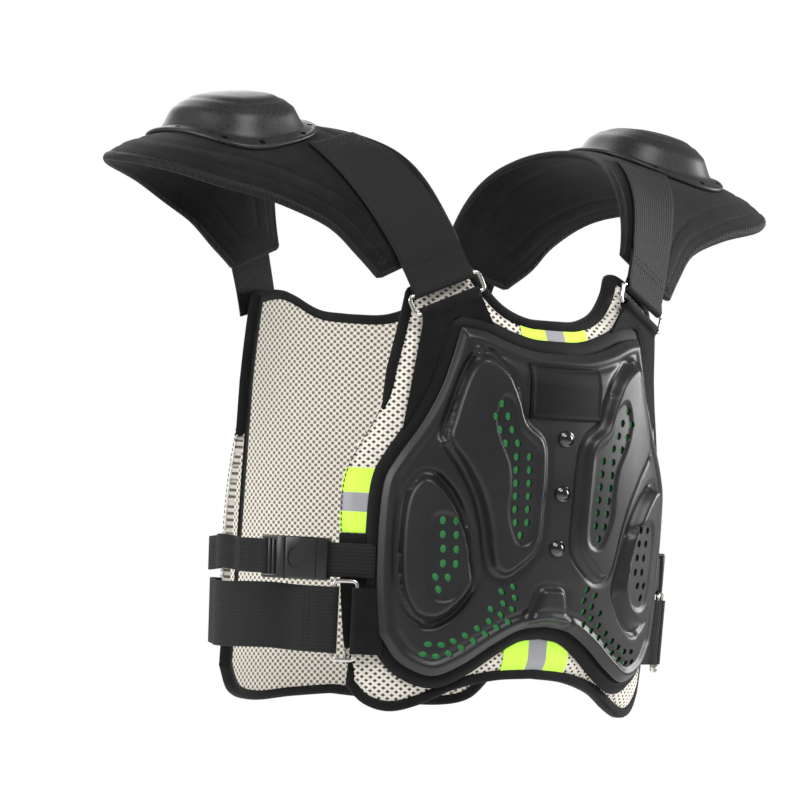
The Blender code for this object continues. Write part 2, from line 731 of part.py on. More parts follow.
def neck_and_hem_tapes(pad_loop, carrier_loop):
    """Reflective tapes over the pad at the neck and at the hem, from the carrier to the edge."""
    us = np.linspace(-TAPE_WIDTH / 2, TAPE_WIDTH / 2, 7)
    for name, top in (("neck", True), ("hem", False)):
        way = 1 if top else -1
        near = [edge_height(carrier_loop, u, top) + way * seam(1) for u in us]
        far = [edge_height(pad_loop, u, top) - way * seam(1) for u in us]
        grid = [[(u, n + (f - n) * share) for u, n, f in zip(us, near, far)] for share in (0, 0.5, 1)]
        layer_slab("tape_" + name, grid, TAPE_THICKNESS, "hi_vis_tape")


def side_panel_heights():
    middle = -(BELT_DROP + BUCKLE_STRAP_DROP) / 2
    return middle - SIDE_PANEL_HEIGHT / 2, middle + SIDE_PANEL_HEIGHT / 2


def flank_strip(name, side, low_z, high_z, pad_loop, carrier_loop, thickness, slot):
    """A strip on the pad's side, from the carrier's edge to the pad's edge."""
    grid = []
    for z in heights_between(carrier_loop, low_z, high_z):
        near = edge_girth(carrier_loop, z) + seam(1)
        far = edge_girth(pad_loop, z) - seam(1)
        grid.append([(side * (near + (far - near) * share), z) for share in (0, 0.5, 1)])
    layer_slab(name, grid, thickness, slot)


def flank_pieces(pad_loop, carrier_loop):
    low, high = side_panel_heights()
    for side_name, side in SIDES:
        flank_strip("side_panel_" + side_name, side, low, high, pad_loop, carrier_loop,
                    SIDE_PANEL_THICKNESS, "black_fabric")
        flank_strip("tape_" + side_name, side, high + seam(1), high + seam(1) + 0.84 * TAPE_WIDTH,
                    pad_loop, carrier_loop, TAPE_THICKNESS, "hi_vis_tape")


def wire_ring(name, centre, long_way, short_way, long_size, short_size):
    """A rectangular ring of round wire with rounded corners."""
    wire_sides, turns = 6, 3
    half_long, half_short = long_size / 2 - WIRE_RADIUS, short_size / 2 - WIRE_RADIUS
    path, outward = [], []
    for cx, cy, start in ((1, 1, 0), (-1, 1, 90), (-1, -1, 180), (1, -1, 270)):
        for k in range(turns):
            a = math.radians(start + 90 * k / (turns - 1))
            corner = long_way * cx * (half_long - RING_CORNER) + short_way * cy * (half_short - RING_CORNER)
            way = long_way * math.cos(a) + short_way * math.sin(a)
            path.append(centre + corner + way * RING_CORNER)
            outward.append(way)
    normal = long_way.cross(short_way)

    def section(k):
        ring = []
        for j in range(wire_sides):
            a = 2 * math.pi * (j + 0.5) / wire_sides
            ring.append(path[k] + (outward[k] * math.cos(a) + normal * math.sin(a)) * WIRE_RADIUS)
        return ring

    tube(name, path, section, "plated_wire")


def wire_eye():
    """Radius of the hole that webbing leaves round a ring's wire."""
    return WIRE_RADIUS + WEB_CLEARANCE


def bar_eye():
    """Radius of the hole that webbing leaves round the square bar of a buckle's ladder."""
    return LADDER_BAR / math.sqrt(2) + WEB_CLEARANCE


def bar_cutter(centre, along, length, radius, turns=8):
    side = along.orthogonal().normalized()
    other = along.cross(side)
    size = radius / math.cos(math.pi / turns)
    ring = [(side * math.cos(2 * math.pi * k / turns) + other * math.sin(2 * math.pi * k / turns)) * size
            for k in range(turns)]
    low = [centre - along * length / 2 + p for p in ring]
    high = [centre + along * length / 2 + p for p in ring]
    return prisms("bar_cutter", [(low, high)])


def strip_row(centre, normal, across, width, rise, shares=(0.0, 1.0)):
    """One cross row of a strip: its points, the way it faces, and half its thickness."""
    return [centre + across * width * (share - 0.5) for share in shares], normal, rise


def eye_rows(bar, along, normal, across, width, thickness, eye, shares=(0.0, 1.0)):
    """The rows that fold a strip round a bar: from its far side, then on along the strip."""
    bulge = eye + thickness
    rows = []
    for reach in (-0.98, -0.6, 0.0, 0.6, 0.98):
        rise = max(bulge * math.sqrt(1 - reach * reach), thickness / 2 if reach > 0 else 0.0)
        rows.append(strip_row(bar + along * bulge * reach, normal, across, width, rise, shares))
    return rows


def strip(name, rows, slot, bar=None, axis=None, eye=0.0):
    """A flat strip through its rows, with the eye cut for the bar it folds round."""
    outer = [[p + normal * rise for p in line] for line, normal, rise in rows]
    inner = [[p - normal * rise for p in line] for line, normal, rise in rows]
    made = slab(name, outer, inner, slot)
    if bar:
        boolean(made, bar_cutter(bar, axis, 2 * BELT_WIDTH, eye), "DIFFERENCE")
    return made


def girth_frame(side, u, z, lift):
    """Centre, way outward from the front, way up and normal, at a spot on the torso's side."""
    centre = on_torso(side * u, z, lift)
    onward = (on_torso(side * (u + 0.001), z, lift) - on_torso(side * (u - 0.001), z, lift)).normalized()
    upward = Vector((0.0, 0.0, 1.0))
    normal = onward.cross(upward).normalized()
    if normal.dot(centre - Vector((0.0, 0.0, z))) < 0:
        normal = -normal
    return centre, onward, upward, normal


def girth_row(side, u, z, lift, width, thickness):
    centre, _, upward, normal = girth_frame(side, u, z, lift)
    return strip_row(centre, normal, upward, width, thickness / 2)


def belt_lift(u, front_lift, back_lift, front_edge):
    """Middle of a belt over the torso: high on the pads, low on the flank between them."""
    back_edge = half_girth() - BACK_PAD_HALF_WIDTH
    off_front = smooth_step((u - front_edge) / BELT_SLOPE_LENGTH)
    foot = back_edge - BELT_SLOPE_LENGTH - BELT_REST_LENGTH
    on_back_pad = smooth_step((u - foot) / BELT_SLOPE_LENGTH)
    low = FLANK_LIFT + BELT_THICKNESS / 2
    return front_lift + (low - front_lift) * off_front + (back_lift - low) * on_back_pad


def back_end():
    """Girth at which belts end, sewn down on the back pad."""
    return half_girth() - BACK_PAD_HALF_WIDTH + BACK_SEWN_LENGTH


def belt_stations(start, edge, off_length, counts):
    """Girths of a belt's rows: down off the chest pad, along the flank, then up onto the back pad."""
    end = back_end()
    parts = ((start, edge + BELT_DOWN_LENGTH), (edge + off_length, end - BELT_UP_START),
             (end - BELT_UP_LENGTH, end))
    return np.concatenate([np.linspace(a, b, count) for (a, b), count in zip(parts, counts)])


def waist_belt(side_name, side, pad_loop, plate_loop):
    """The wide belt: a wire ring held by a tab at the plate, and the belt from ring to back."""
    z = -BELT_DROP
    bulge = wire_eye() + BELT_THICKNESS
    ring_lift = layer_lift() + CARRIER_THICKNESS + LAYER_GAP + bulge
    front_u = WAIST_RING_GIRTH - WAIST_RING_SPACING / 2
    back_u = WAIST_RING_GIRTH + WAIST_RING_SPACING / 2
    front_bar, front_way, upward, front_normal = girth_frame(side, front_u, z, ring_lift)
    back_bar, back_way, _, back_normal = girth_frame(side, back_u, z, ring_lift)
    way = (back_bar - front_bar).normalized()
    wire_ring("waist_ring_" + side_name, (front_bar + back_bar) / 2, upward, way, WAIST_RING_HEIGHT,
              (back_bar - front_bar).length + 2 * WIRE_RADIUS)
    rows = eye_rows(back_bar, back_way, back_normal, upward, BELT_WIDTH, BELT_THICKNESS, wire_eye())
    pad_edge = edge_girth(pad_loop, z) + BINDING_WIDTH
    back_lift = layer_lift() + BELT_THICKNESS / 2
    start = back_u + 1.25 * bulge
    for u in belt_stations(start, pad_edge, 0.070, (7, 4, 6)):
        lift = belt_lift(u, ring_lift, back_lift, max(pad_edge, start))
        rows.append(girth_row(side, u, z, lift, BELT_WIDTH, BELT_THICKNESS))
    strip("waist_belt_" + side_name, rows, "black_webbing", back_bar, upward, wire_eye())
    heights = heights_between(plate_loop, z - BELT_WIDTH / 2, z + BELT_WIDTH / 2)
    shares = [(height - heights[0]) / BELT_WIDTH for height in heights]
    rows = eye_rows(front_bar, -front_way, front_normal, upward, BELT_WIDTH, BELT_THICKNESS, wire_eye(), shares)
    foot_lift = layer_lift() + CARRIER_THICKNESS + LAYER_GAP + BELT_THICKNESS / 2
    foot = [on_torso(side * (edge_girth(plate_loop, height) + seam(2)), height, foot_lift) for height in heights]
    rows.append((foot, front_normal, BELT_THICKNESS / 2))
    strip("waist_tab_" + side_name, rows, "black_fabric", front_bar, upward, wire_eye())


def block(name, frame, along, up, out, slot="black_plastic"):
    """A box in a frame of centre, way along, way up and normal, given its three spans."""
    centre, onward, upward, normal = frame
    chamfer = 0.18 * (out[1] - out[0])
    rings = []
    for a, inset in ((along[0], chamfer), (along[0] + chamfer, 0.0), (along[1] - chamfer, 0.0),
                     (along[1], chamfer)):
        ring = []
        for b, c in ((up[0], out[0]), (up[1], out[0]), (up[1], out[1]), (up[0], out[1])):
            b += inset if b == up[0] else -inset
            c += inset if c == out[0] else -inset
            ring.append(centre + onward * a + upward * b + normal * c)
        rings.append(ring)
    points = [p for ring in rings for p in ring]
    faces = [(0, 1, 2, 3), (12, 13, 14, 15)]
    for k in range(3):
        for j in range(4):
            n = (j + 1) % 4
            faces.append((4 * k + j, 4 * k + n, 4 * k + 4 + n, 4 * k + 4 + j))
    return add_object(name, points, faces, slot)


def box(name, frame, along, up, out):
    """A plain box in a frame, for cutters and bars."""
    centre, onward, upward, normal = frame

    def ring(a):
        return [centre + onward * a + upward * b + normal * c
                for b, c in ((up[0], out[0]), (up[1], out[0]), (up[1], out[1]), (up[0], out[1]))]

    return prisms(name, [(ring(along[0]), ring(along[1]))], "black_plastic")


def buckle(side_name, side, pad_loop, plate_loop):
    """The side buckle, fastened: short web from the plate, socket, plug with ladder, web to the back."""
    z = -BUCKLE_STRAP_DROP
    half = BUCKLE_WIDTH / 2
    web_half = BUCKLE_STRAP_WIDTH / 2
    thick = BUCKLE_STRAP_THICKNESS
    start = edge_girth(pad_loop, z) + BINDING_WIDTH + 0.001
    lift = layer_lift() + BUCKLE_THICKNESS * 0.2
    frame = girth_frame(side, start + BUCKLE_LENGTH / 2, z, lift)
    centre, onward, upward, normal = frame
    front = -BUCKLE_LENGTH / 2
    back = BUCKLE_LENGTH / 2
    socket = block("buckle_socket_" + side_name, frame, (front, back), (-half, half),
                   (-BUCKLE_THICKNESS / 2, BUCKLE_THICKNESS / 2))
    gap = WEB_CLEARANCE
    boolean(socket, box("web_cutter", frame, (front - 0.002, front + BUCKLE_POCKET),
                        (-web_half - gap, web_half + gap), (-thick / 2 - gap, thick / 2 + gap)), "DIFFERENCE")
    tongue_half, tongue_thick = 0.34 * BUCKLE_WIDTH, 0.42 * BUCKLE_THICKNESS
    boolean(socket, box("tongue_cutter", frame, (back - BUCKLE_TONGUE, back + 0.002),
                        (-tongue_half - gap, tongue_half + gap),
                        (-tongue_thick / 2 - gap, tongue_thick / 2 + gap)), "DIFFERENCE")
    # Plug: tongue in the socket, a solid head, then the ladder with two slots
    head = back + gap
    slots = head + LADDER_LENGTH
    plug = block("buckle_plug_" + side_name, frame, (head, head + 0.35 * LADDER_LENGTH), (-half, half),
                 (-0.36 * BUCKLE_THICKNESS, 0.36 * BUCKLE_THICKNESS))
    boolean(plug, box("tongue", frame, (back - BUCKLE_TONGUE + gap, head + 0.1 * LADDER_LENGTH),
                      (-tongue_half, tongue_half), (-tongue_thick / 2, tongue_thick / 2)), "UNION")
    boolean(plug, box("ladder", frame, (head + 0.2 * LADDER_LENGTH, slots), (-half, half),
                      (-LADDER_THICKNESS / 2, LADDER_THICKNESS / 2)), "UNION")
    bar = slots - LADDER_BAR / 2
    slot_end = slots - LADDER_BAR
    reach = half - LADDER_RAIL
    boolean(plug, box("slot", frame, (slot_end - LADDER_SLOT, slot_end), (-reach, reach),
                      (-BUCKLE_THICKNESS, BUCKLE_THICKNESS)), "DIFFERENCE")
    # Webbing behind, folded round the ladder's last bar
    bar_centre = centre + onward * bar
    rows = eye_rows(bar_centre, onward, normal, upward, BUCKLE_STRAP_WIDTH, thick, bar_eye())
    bulge = bar_eye() + thick
    bar_u = start + BUCKLE_LENGTH / 2 + bar
    bar_lift = (bar_centre - on_torso(side * bar_u, z, 0.0)).dot(normal)
    back_lift = layer_lift() + thick / 2
    for u in belt_stations(bar_u + 1.3 * bulge, bar_u, 0.065, (5, 3, 6)):
        web_lift = belt_lift(u, bar_lift, back_lift, bar_u + bulge)
        rows.append(girth_row(side, u, z, web_lift, BUCKLE_STRAP_WIDTH, thick))
    strip("buckle_web_" + side_name, rows, "black_webbing", bar_centre, upward, bar_eye())
    # Short webbing from the plate's edge into the socket
    foot_lift = layer_lift() + CARRIER_THICKNESS + LAYER_GAP + thick / 2
    rows = []
    heights = heights_between(plate_loop, z - web_half, z + web_half)
    shares = [(height - heights[0]) / BUCKLE_STRAP_WIDTH for height in heights]
    foot = [on_torso(side * (edge_girth(plate_loop, height) + seam(2)), height, foot_lift) for height in heights]
    _, _, _, foot_normal = girth_frame(side, start - 0.028, z, foot_lift)
    rows.append((foot, foot_normal, thick / 2))
    for u in (start - 0.019, start - 0.010):
        near, _, up_way, near_normal = girth_frame(side, u, z, foot_lift)
        rows.append(strip_row(near, near_normal, up_way, BUCKLE_STRAP_WIDTH, thick / 2, shares))
    for a in (front - 0.0005, front + BUCKLE_POCKET - gap):
        rows.append(strip_row(centre + onward * a, normal, upward, BUCKLE_STRAP_WIDTH, thick / 2, shares))
    strip("buckle_tab_" + side_name, rows, "black_webbing")


def bezier(p0, p1, p2, p3, t):
    return p0 * (1 - t) ** 3 + p1 * (3 * t * (1 - t) ** 2) + p2 * (3 * t * t * (1 - t)) + p3 * t ** 3


def strap_lift():
    """Middle of the shoulder strap over the torso, where it folds round its ring."""
    return layer_lift() + LAYER_GAP + wire_eye() + STRAP_THICKNESS


def back_strap_end():
    """Height where a shoulder strap ends on the back pad, just above the back plate."""
    return BACK_PLATE_TOP + 0.006


class ShoulderRun:
    """The run of one shoulder's straps, from the chest ring over the shoulder to the back pad."""

    def __init__(self, side):
        self.side = side
        self.front = on_torso(RING_GIRTH, -RING_DROP + SHOULDER_RING_HEIGHT / 2, strap_lift())
        self.top = Vector((SHOULDER_SPREAD, SHOULDER_SETBACK, -STRAP_THICKNESS / 2))
        self.back = on_back(BACK_STRAP_GIRTH, back_strap_end(), layer_lift() + STRAP_THICKNESS / 2)
        slope = math.radians(SHOULDER_SLOPE)
        self.normals = (
            torso_normal(on_torso, RING_GIRTH, -RING_DROP),
            Vector((math.sin(slope), 0.0, math.cos(slope))),
            torso_normal(on_back, BACK_STRAP_GIRTH, back_strap_end()),
        )
        front_way = Vector((0.34, 0.24, 0.91)).normalized()
        back_way = Vector((0.22, -0.02, 0.97)).normalized()
        front_reach = (self.top - self.front).length * 0.46
        back_reach = (self.top - self.back).length * 0.50
        rearward = Vector((0.0, 1.0, 0.0))
        front_curve = (self.front, self.front + front_way * front_reach,
                       self.top - rearward * front_reach * 0.78, self.top)
        back_curve = (self.top, self.top + rearward * back_reach,
                      self.back + back_way * back_reach, self.back)
        shares = np.linspace(0.0, 1.0, 61)
        dense = [bezier(*front_curve, t) for t in shares]
        dense += [bezier(*back_curve, t) for t in shares[1:]]
        self.points = np.array(dense)
        steps = np.linalg.norm(np.diff(self.points, axis=0), axis=1)
        self.lengths = np.concatenate([[0.0], np.cumsum(steps)])
        self.length = float(self.lengths[-1])
        self.top_share = float(self.lengths[60] / self.length)

    def centre(self, share):
        place = share * self.length
        return Vector([float(np.interp(place, self.lengths, self.points[:, k])) for k in range(3)])

    def frame(self, share):
        """Centre, way along, way outward and normal, on the wearer's left side."""
        step = 0.01
        along = (self.centre(min(1.0, share + step)) - self.centre(max(0.0, share - step))).normalized()
        front, top, back = self.normals
        if share < self.top_share:
            normal = front.lerp(top, smooth_step(share / self.top_share))
        else:
            normal = top.lerp(back, smooth_step((share - self.top_share) / (1 - self.top_share)))
        outward = along.cross(normal).normalized()
        normal = outward.cross(along).normalized()
        return self.centre(share), along, outward, normal

    def mirrored(self, way):
        return Vector((way.x * self.side, way.y, way.z))

    def point(self, share, outward_by, lift):
        """A point at a share of the run, out from its middle, and over the strap's middle."""
        centre, _, outward, normal = self.frame(share)
        sag = WING_SAG * (max(0.0, outward_by) / WING_REACH) ** 3
        return self.mirrored(centre + outward * outward_by + normal * lift) - Vector((0.0, 0.0, sag))

    def row(self, share, width, rise):
        centre, _, outward, normal = self.frame(share)
        return strip_row(self.mirrored(centre), self.mirrored(normal), self.mirrored(outward), width, rise)


def run_shares(first, last):
    """The shares of a run from first to last that its wing and straps all have a row at."""
    inside = [k / RUN_STEPS for k in range(RUN_STEPS + 1)]
    return [first] + [k for k in inside if first + 0.3 / RUN_STEPS < k < last - 0.3 / RUN_STEPS] + [last]


def wing_grid():
    """Rows of run share and outward distance: the padded wing from chest tail to back tail."""
    first, last = WING_OUTLINE[0][0], WING_OUTLINE[-1][0]
    dense = curve_through(WING_OUTLINE, 60)
    rows = []
    for share in run_shares(first, last):
        outer = float(np.interp(share, dense[:, 0], dense[:, 1])) * WING_REACH
        fullness = smooth_step(min(share - first, last - share) / 0.22)
        inner = -(STRAP_WIDTH / 2 + 0.002 + WING_INNER_MARGIN * fullness)
        outs = [inner, -STRAP_WIDTH / 2, STRAP_WIDTH / 2]
        outs += [STRAP_WIDTH / 2 + (outer - STRAP_WIDTH / 2) * q for q in (0.45, 0.88, 1.0)]
        rows.append([(share, out) for out in outs])
    return rows


def wing_top():
    """Lift of the wing's upper face: just under the straps."""
    return -STRAP_THICKNESS / 2 - LAYER_GAP


def shoulder_wing(name, run):
    rows = wing_grid()
    outer, inner = [], []
    for i, row in enumerate(rows):
        top_row, bottom_row = [], []
        for j, (share, out) in enumerate(row):
            edge = i in (0, len(rows) - 1) or j in (0, len(row) - 1)
            thick = WING_EDGE_THICKNESS if edge else WING_THICKNESS
            ease = (WING_THICKNESS - thick) / 2
            top_row.append(run.point(share, out, wing_top() - ease))
            bottom_row.append(run.point(share, out, wing_top() - ease - thick))
        outer.append(top_row)
        inner.append(bottom_row)
    return slab(name, outer, inner, "black_fabric")


def cap_middle(run):
    """Share of the run at the cap's middle: a little ahead of the shoulder's top."""
    return run.top_share - 0.020


def rounded(angle):
    """A point of the cap's rounded outline, as shares of its half length and half breadth."""
    c, s = math.cos(angle), math.sin(angle)
    return math.copysign(abs(c) ** 0.72, c), math.copysign(abs(s) ** 0.72, s)


def cap_surface(run, along_share, across_share, lift):
    share = cap_middle(run) + along_share * CAP_LENGTH / 2 / run.length
    out = CAP_OUTSET + across_share * CAP_BREADTH / 2
    return run.point(share, out, wing_top() + LAYER_GAP + lift)


def shoulder_cap(name, run):
    """A domed cap with a flat flange, a steep shoulder and a flatter top."""
    turns = 16
    outline = [rounded(2 * math.pi * k / turns) for k in range(turns)]
    flange = 1 - 2 * CAP_FLANGE / CAP_BREADTH
    # size of each ring, and its share of the rise
    rings = ((1.00, 0.00), (flange, 0.00), (flange * 0.84, 0.62), (flange * 0.50, 0.94))
    points = []
    for wall in (CAP_WALL, 0.0):
        for size, rise in rings:
            for along, across in outline:
                points.append(cap_surface(run, along * size, across * size, rise * CAP_RISE + wall))
        points.append(cap_surface(run, 0.0, 0.0, CAP_RISE + wall))
    layer = len(rings) * turns + 1
    faces = []
    for j in range(turns):
        n = (j + 1) % turns
        for base in (0, layer):
            for k in range(len(rings) - 1):
                a, b = base + k * turns, base + (k + 1) * turns
                faces.append((a + j, a + n, b + n, b + j))
            last = base + (len(rings) - 1) * turns
            faces.append((last + j, last + n, base + layer - 1))
        faces.append((j, layer + j, layer + n, n))
    cap = add_object(name, points, faces, "grey_shell")
    cutters = []
    for k in range(CAP_HOLES):
        along, across = rounded(2 * math.pi * (k + 0.5) / CAP_HOLES)
        size = 1 - CAP_FLANGE / CAP_BREADTH
        low, high = [], []
        for m in range(4):
            turn = math.pi / 2 * m
            spot = (along * size + CAP_HOLE_RADIUS * math.cos(turn) / (CAP_LENGTH / 2),
                    across * size + CAP_HOLE_RADIUS * math.sin(turn) / (CAP_BREADTH / 2))
            low.append(cap_surface(run, *spot, -CAP_WALL))
            high.append(cap_surface(run, *spot, 2 * CAP_WALL))
        cutters.append((low, high))
    boolean(cap, prisms("cap_cutter", cutters), "DIFFERENCE")


def shoulder_straps(side_name, run):
    """The strap from ring to cap, the strap from cap to back pad, and the ring between."""
    centre, along, outward, normal = run.frame(0.0)
    bar, along, outward, normal = (run.mirrored(way) for way in (centre, along, outward, normal))
    spacing = SHOULDER_RING_HEIGHT - 2 * WIRE_RADIUS
    lower_bar = bar - along * spacing
    wire_ring("shoulder_ring_" + side_name, (bar + lower_bar) / 2, outward, along,
              SHOULDER_RING_WIDTH, SHOULDER_RING_HEIGHT)
    cap_half = CAP_LENGTH / 2 / run.length
    front_end = cap_middle(run) - cap_half - 0.010
    rows = eye_rows(bar, along, normal, outward, STRAP_WIDTH, STRAP_THICKNESS, wire_eye())
    rows += [run.row(share, STRAP_WIDTH, STRAP_THICKNESS / 2) for share in run_shares(0.035, front_end)]
    strip("shoulder_strap_front_" + side_name, rows, "black_webbing", bar, outward, wire_eye())
    back_start = cap_middle(run) + cap_half + 0.010
    rows = [run.row(share, STRAP_WIDTH, STRAP_THICKNESS / 2) for share in run_shares(back_start, 1.0)]
    strip("shoulder_strap_back_" + side_name, rows, "black_webbing")
    return lower_bar, along, outward, normal


def lift_over_torso(point):
    """How far a point stands off the torso at its height."""
    width = TORSO_HALF_WIDTH * section_share(point.z, 1)
    depth = TORSO_FRONT_DEPTH * section_share(point.z, 2) if point.y < 0 else TORSO_BACK_DEPTH
    low, high = -0.08, 0.30
    for _ in range(24):
        middle = (low + high) / 2
        inside = (point.x / (width + middle)) ** 2 + (point.y / (depth + middle)) ** 2 > 1
        low, high = (middle, high) if inside else (low, middle)
    return low, width, depth


def pushed_out(point, lift):
    """The point, moved outward where it stands off the torso by less than the lift."""
    now, width, depth = lift_over_torso(point)
    if now >= lift:
        return point
    return Vector((point.x * (width + lift) / (width + now), point.y * (depth + lift) / (depth + now), point.z))


def chest_tab(name, side, lower_bar, along, outward, normal, carrier_loop):
    """The tab that runs from the carrier's top corner and folds round the ring's lower bar."""
    loop = carrier_loop + loop_normals(carrier_loop) * seam(1)
    if side < 0:
        loop = loop * np.array([-1.0, 1.0])
    corner = int(np.argmax(loop[:, 1] + 0.35 * np.where(loop[:, 0] > 0, loop[:, 0], -1.0)))
    step = -1 if loop[corner - 1][0] > loop[(corner + 1) % len(loop)][0] else 1
    # Stations of the foot: from the neck side of the corner to the armhole side
    picks = [loop[(corner - step * k) % len(loop)] for k in range(TAB_NECK_STEPS, -TAB_ARM_STEPS - 1, -1)]
    rows = eye_rows(lower_bar, -along, normal, outward, STRAP_WIDTH, STRAP_THICKNESS, wire_eye(),
                    even_shares(len(picks) - 1))
    outer = [[p + way * rise for p in line] for line, way, rise in rows]
    inner = [[p - way * rise for p in line] for line, way, rise in rows]
    low = layer_lift()
    foot_out = [on_torso(side * u, z, low + CARRIER_THICKNESS) for u, z in picks]
    foot_in = [on_torso(side * u, z, low) for u, z in picks]
    start_out, start_in = outer[-1], inner[-1]
    for share in (0.3, 0.65, 1.0):
        outer.append([pushed_out(a.lerp(b, share), low + CARRIER_THICKNESS) for a, b in zip(start_out, foot_out)])
        inner.append([pushed_out(a.lerp(b, share), low) for a, b in zip(start_in, foot_in)])
    tab = slab(name, outer, inner, "black_fabric")
    boolean(tab, bar_cutter(lower_bar, outward, 2 * STRAP_WIDTH, wire_eye()), "DIFFERENCE")


def shoulder_pieces(side_name, side, carrier_loop):
    run = ShoulderRun(side)
    shoulder_wing("shoulder_pad_" + side_name, run)
    shoulder_cap("shoulder_cap_" + side_name, run)
    lower_bar, along, outward, normal = shoulder_straps(side_name, run)
    chest_tab("chest_tab_" + side_name, side, lower_bar, along, outward, normal, carrier_loop)


def back_pieces():
    """The back: a bound pad and a plain plate over it."""
    loop = pad("back_pad", BACK_PAD, BACK_PAD_HALF_WIDTH, BACK_PAD_HEIGHT, BACK_PAD_TOP, on_back, 12, 7)
    binding("back_pad_binding", loop, on_back)
    sides = half_sides(BACK_PLATE, BACK_PLATE_HALF_WIDTH, BACK_PLATE_HEIGHT, BACK_PLATE_TOP)
    raised = layer_lift() + PLATE_CROWN
    dished_shell("back_plate", sides, on_back, BACK_PLATE_HALF_WIDTH, BACK_PLATE_HEIGHT, layer_lift(),
                 lambda u, z: raised, 10, 6)


def main():
    clear_scene()
    pad_loop = pad("chest_pad", CHEST_PAD, CHEST_PAD_HALF_WIDTH, CHEST_PAD_HEIGHT, CHEST_PAD_TOP,
                   on_torso, 14, 11)
    binding("chest_pad_binding", pad_loop, on_torso)
    carrier_loop = carrier(14, 8)
    plate_loop = chest_plate()
    vent_liner()
    badge()
    chest_snaps()
    neck_and_hem_tapes(pad_loop, carrier_loop)
    flank_pieces(pad_loop, carrier_loop)
    for side_name, side in SIDES:
        shoulder_pieces(side_name, side, carrier_loop)
        waist_belt(side_name, side, pad_loop, plate_loop)
        buckle(side_name, side, pad_loop, plate_loop)
    back_pieces()


main()
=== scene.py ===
"""Looks of the motorcycle armour vest: its visible pieces, their finishes and a pale studio.

Laid out as an add-on and run as a script. Each piece is modelled flat, in the lengths it was cut
to, and then bent round the torso or along the shoulder, as the real panels and straps are.
"""

import math

import bmesh
import bpy
import numpy as np
from bpy.props import FloatProperty, FloatVectorProperty, PointerProperty
from mathutils import Matrix, Vector


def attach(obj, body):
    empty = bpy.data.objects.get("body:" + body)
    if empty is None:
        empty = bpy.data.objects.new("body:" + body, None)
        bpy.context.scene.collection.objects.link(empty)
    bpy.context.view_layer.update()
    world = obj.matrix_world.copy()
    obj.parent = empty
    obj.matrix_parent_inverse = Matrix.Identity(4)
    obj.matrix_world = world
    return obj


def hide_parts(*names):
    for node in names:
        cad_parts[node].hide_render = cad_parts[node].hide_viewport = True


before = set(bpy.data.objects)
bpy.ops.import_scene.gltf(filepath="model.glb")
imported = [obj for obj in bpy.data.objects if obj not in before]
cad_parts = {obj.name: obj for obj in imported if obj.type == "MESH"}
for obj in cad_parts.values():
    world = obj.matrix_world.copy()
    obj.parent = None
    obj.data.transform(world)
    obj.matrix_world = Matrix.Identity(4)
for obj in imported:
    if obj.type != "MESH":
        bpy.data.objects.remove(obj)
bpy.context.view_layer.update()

bl_info = {
    "name": "Motorcycle Armour Vest",
    "version": (1, 0, 0),
    "blender": (4, 5, 0),
    "location": "View3D > Sidebar > Vest",
    "description": "Models the armour vest's visible pieces, their finishes and a pale studio",
    "category": "Object",
}

MM = 0.001

# Torso that the vest is shaped to
TORSO_HALF_WIDTH = 172 * MM
TORSO_FRONT_DEPTH = 133 * MM
TORSO_BACK_DEPTH = 120 * MM
TORSO_BOTTOM_DROP = 460 * MM

# Layers over the torso
PAD_THICKNESS = 10 * MM
PAD_EDGE_THICKNESS = 6 * MM
BINDING_WIDTH = 5 * MM
LAYER = 11 * MM
CARRIER_THICKNESS = 2.5 * MM
CARRIER_MARGIN = 7 * MM
PLATE_SEAT = LAYER + CARRIER_THICKNESS + 1 * MM
PLATE_WALL = 3.2 * MM
PLATE_RIM_RISE = 3.5 * MM
PLATE_CROWN = 6 * MM
FLAT_WALL = 1 * MM
SHELL_WALL = 2.6 * MM
EDGE_ANGLE = math.radians(60)
CLOTH_EDGE_ANGLE = math.radians(50)

# Panels: half width, height and top
CHEST_PAD_SIZE = (156 * MM, 329 * MM, -100 * MM)
CHEST_PLATE_SIZE = (123 * MM, 254 * MM, -148 * MM)
BACK_PAD_SIZE = (140 * MM, 310 * MM, -122 * MM)
BACK_PLATE_SIZE = (112 * MM, 258 * MM, -145 * MM)
TAPE_WIDTH = 56 * MM
BADGE_SIZE = (56 * MM, 40 * MM)
SNAP_PITCH = 40 * MM
SNAP_RADIUS = 4.6 * MM
SNAP_RISE = 3.6 * MM

# Straps, belts and rings
WIRE_RADIUS = 1.5 * MM
STRAP_WIDTH = 47 * MM
STRAP_THICKNESS = 2.4 * MM
WIRE_EYE = 1.9 * MM
RING_CORNER = 3 * MM
SHOULDER_RING = (59 * MM, 17 * MM)
WAIST_RING = (60 * MM, 18 * MM)
WAIST_RING_GIRTH = 142 * MM
BELT_WIDTH = 48 * MM
BELT_SLOPE = 38 * MM
BELT_DROP = 365 * MM
BUCKLE_WEB_WIDTH = 25 * MM
BUCKLE_DROP = 321.5 * MM
BUCKLE_SIZE = (30 * MM, 31 * MM, 10 * MM)
LADDER_LENGTH = 19 * MM
FLANK_LIFT = 3 * MM
BACK_SEWN = 22 * MM

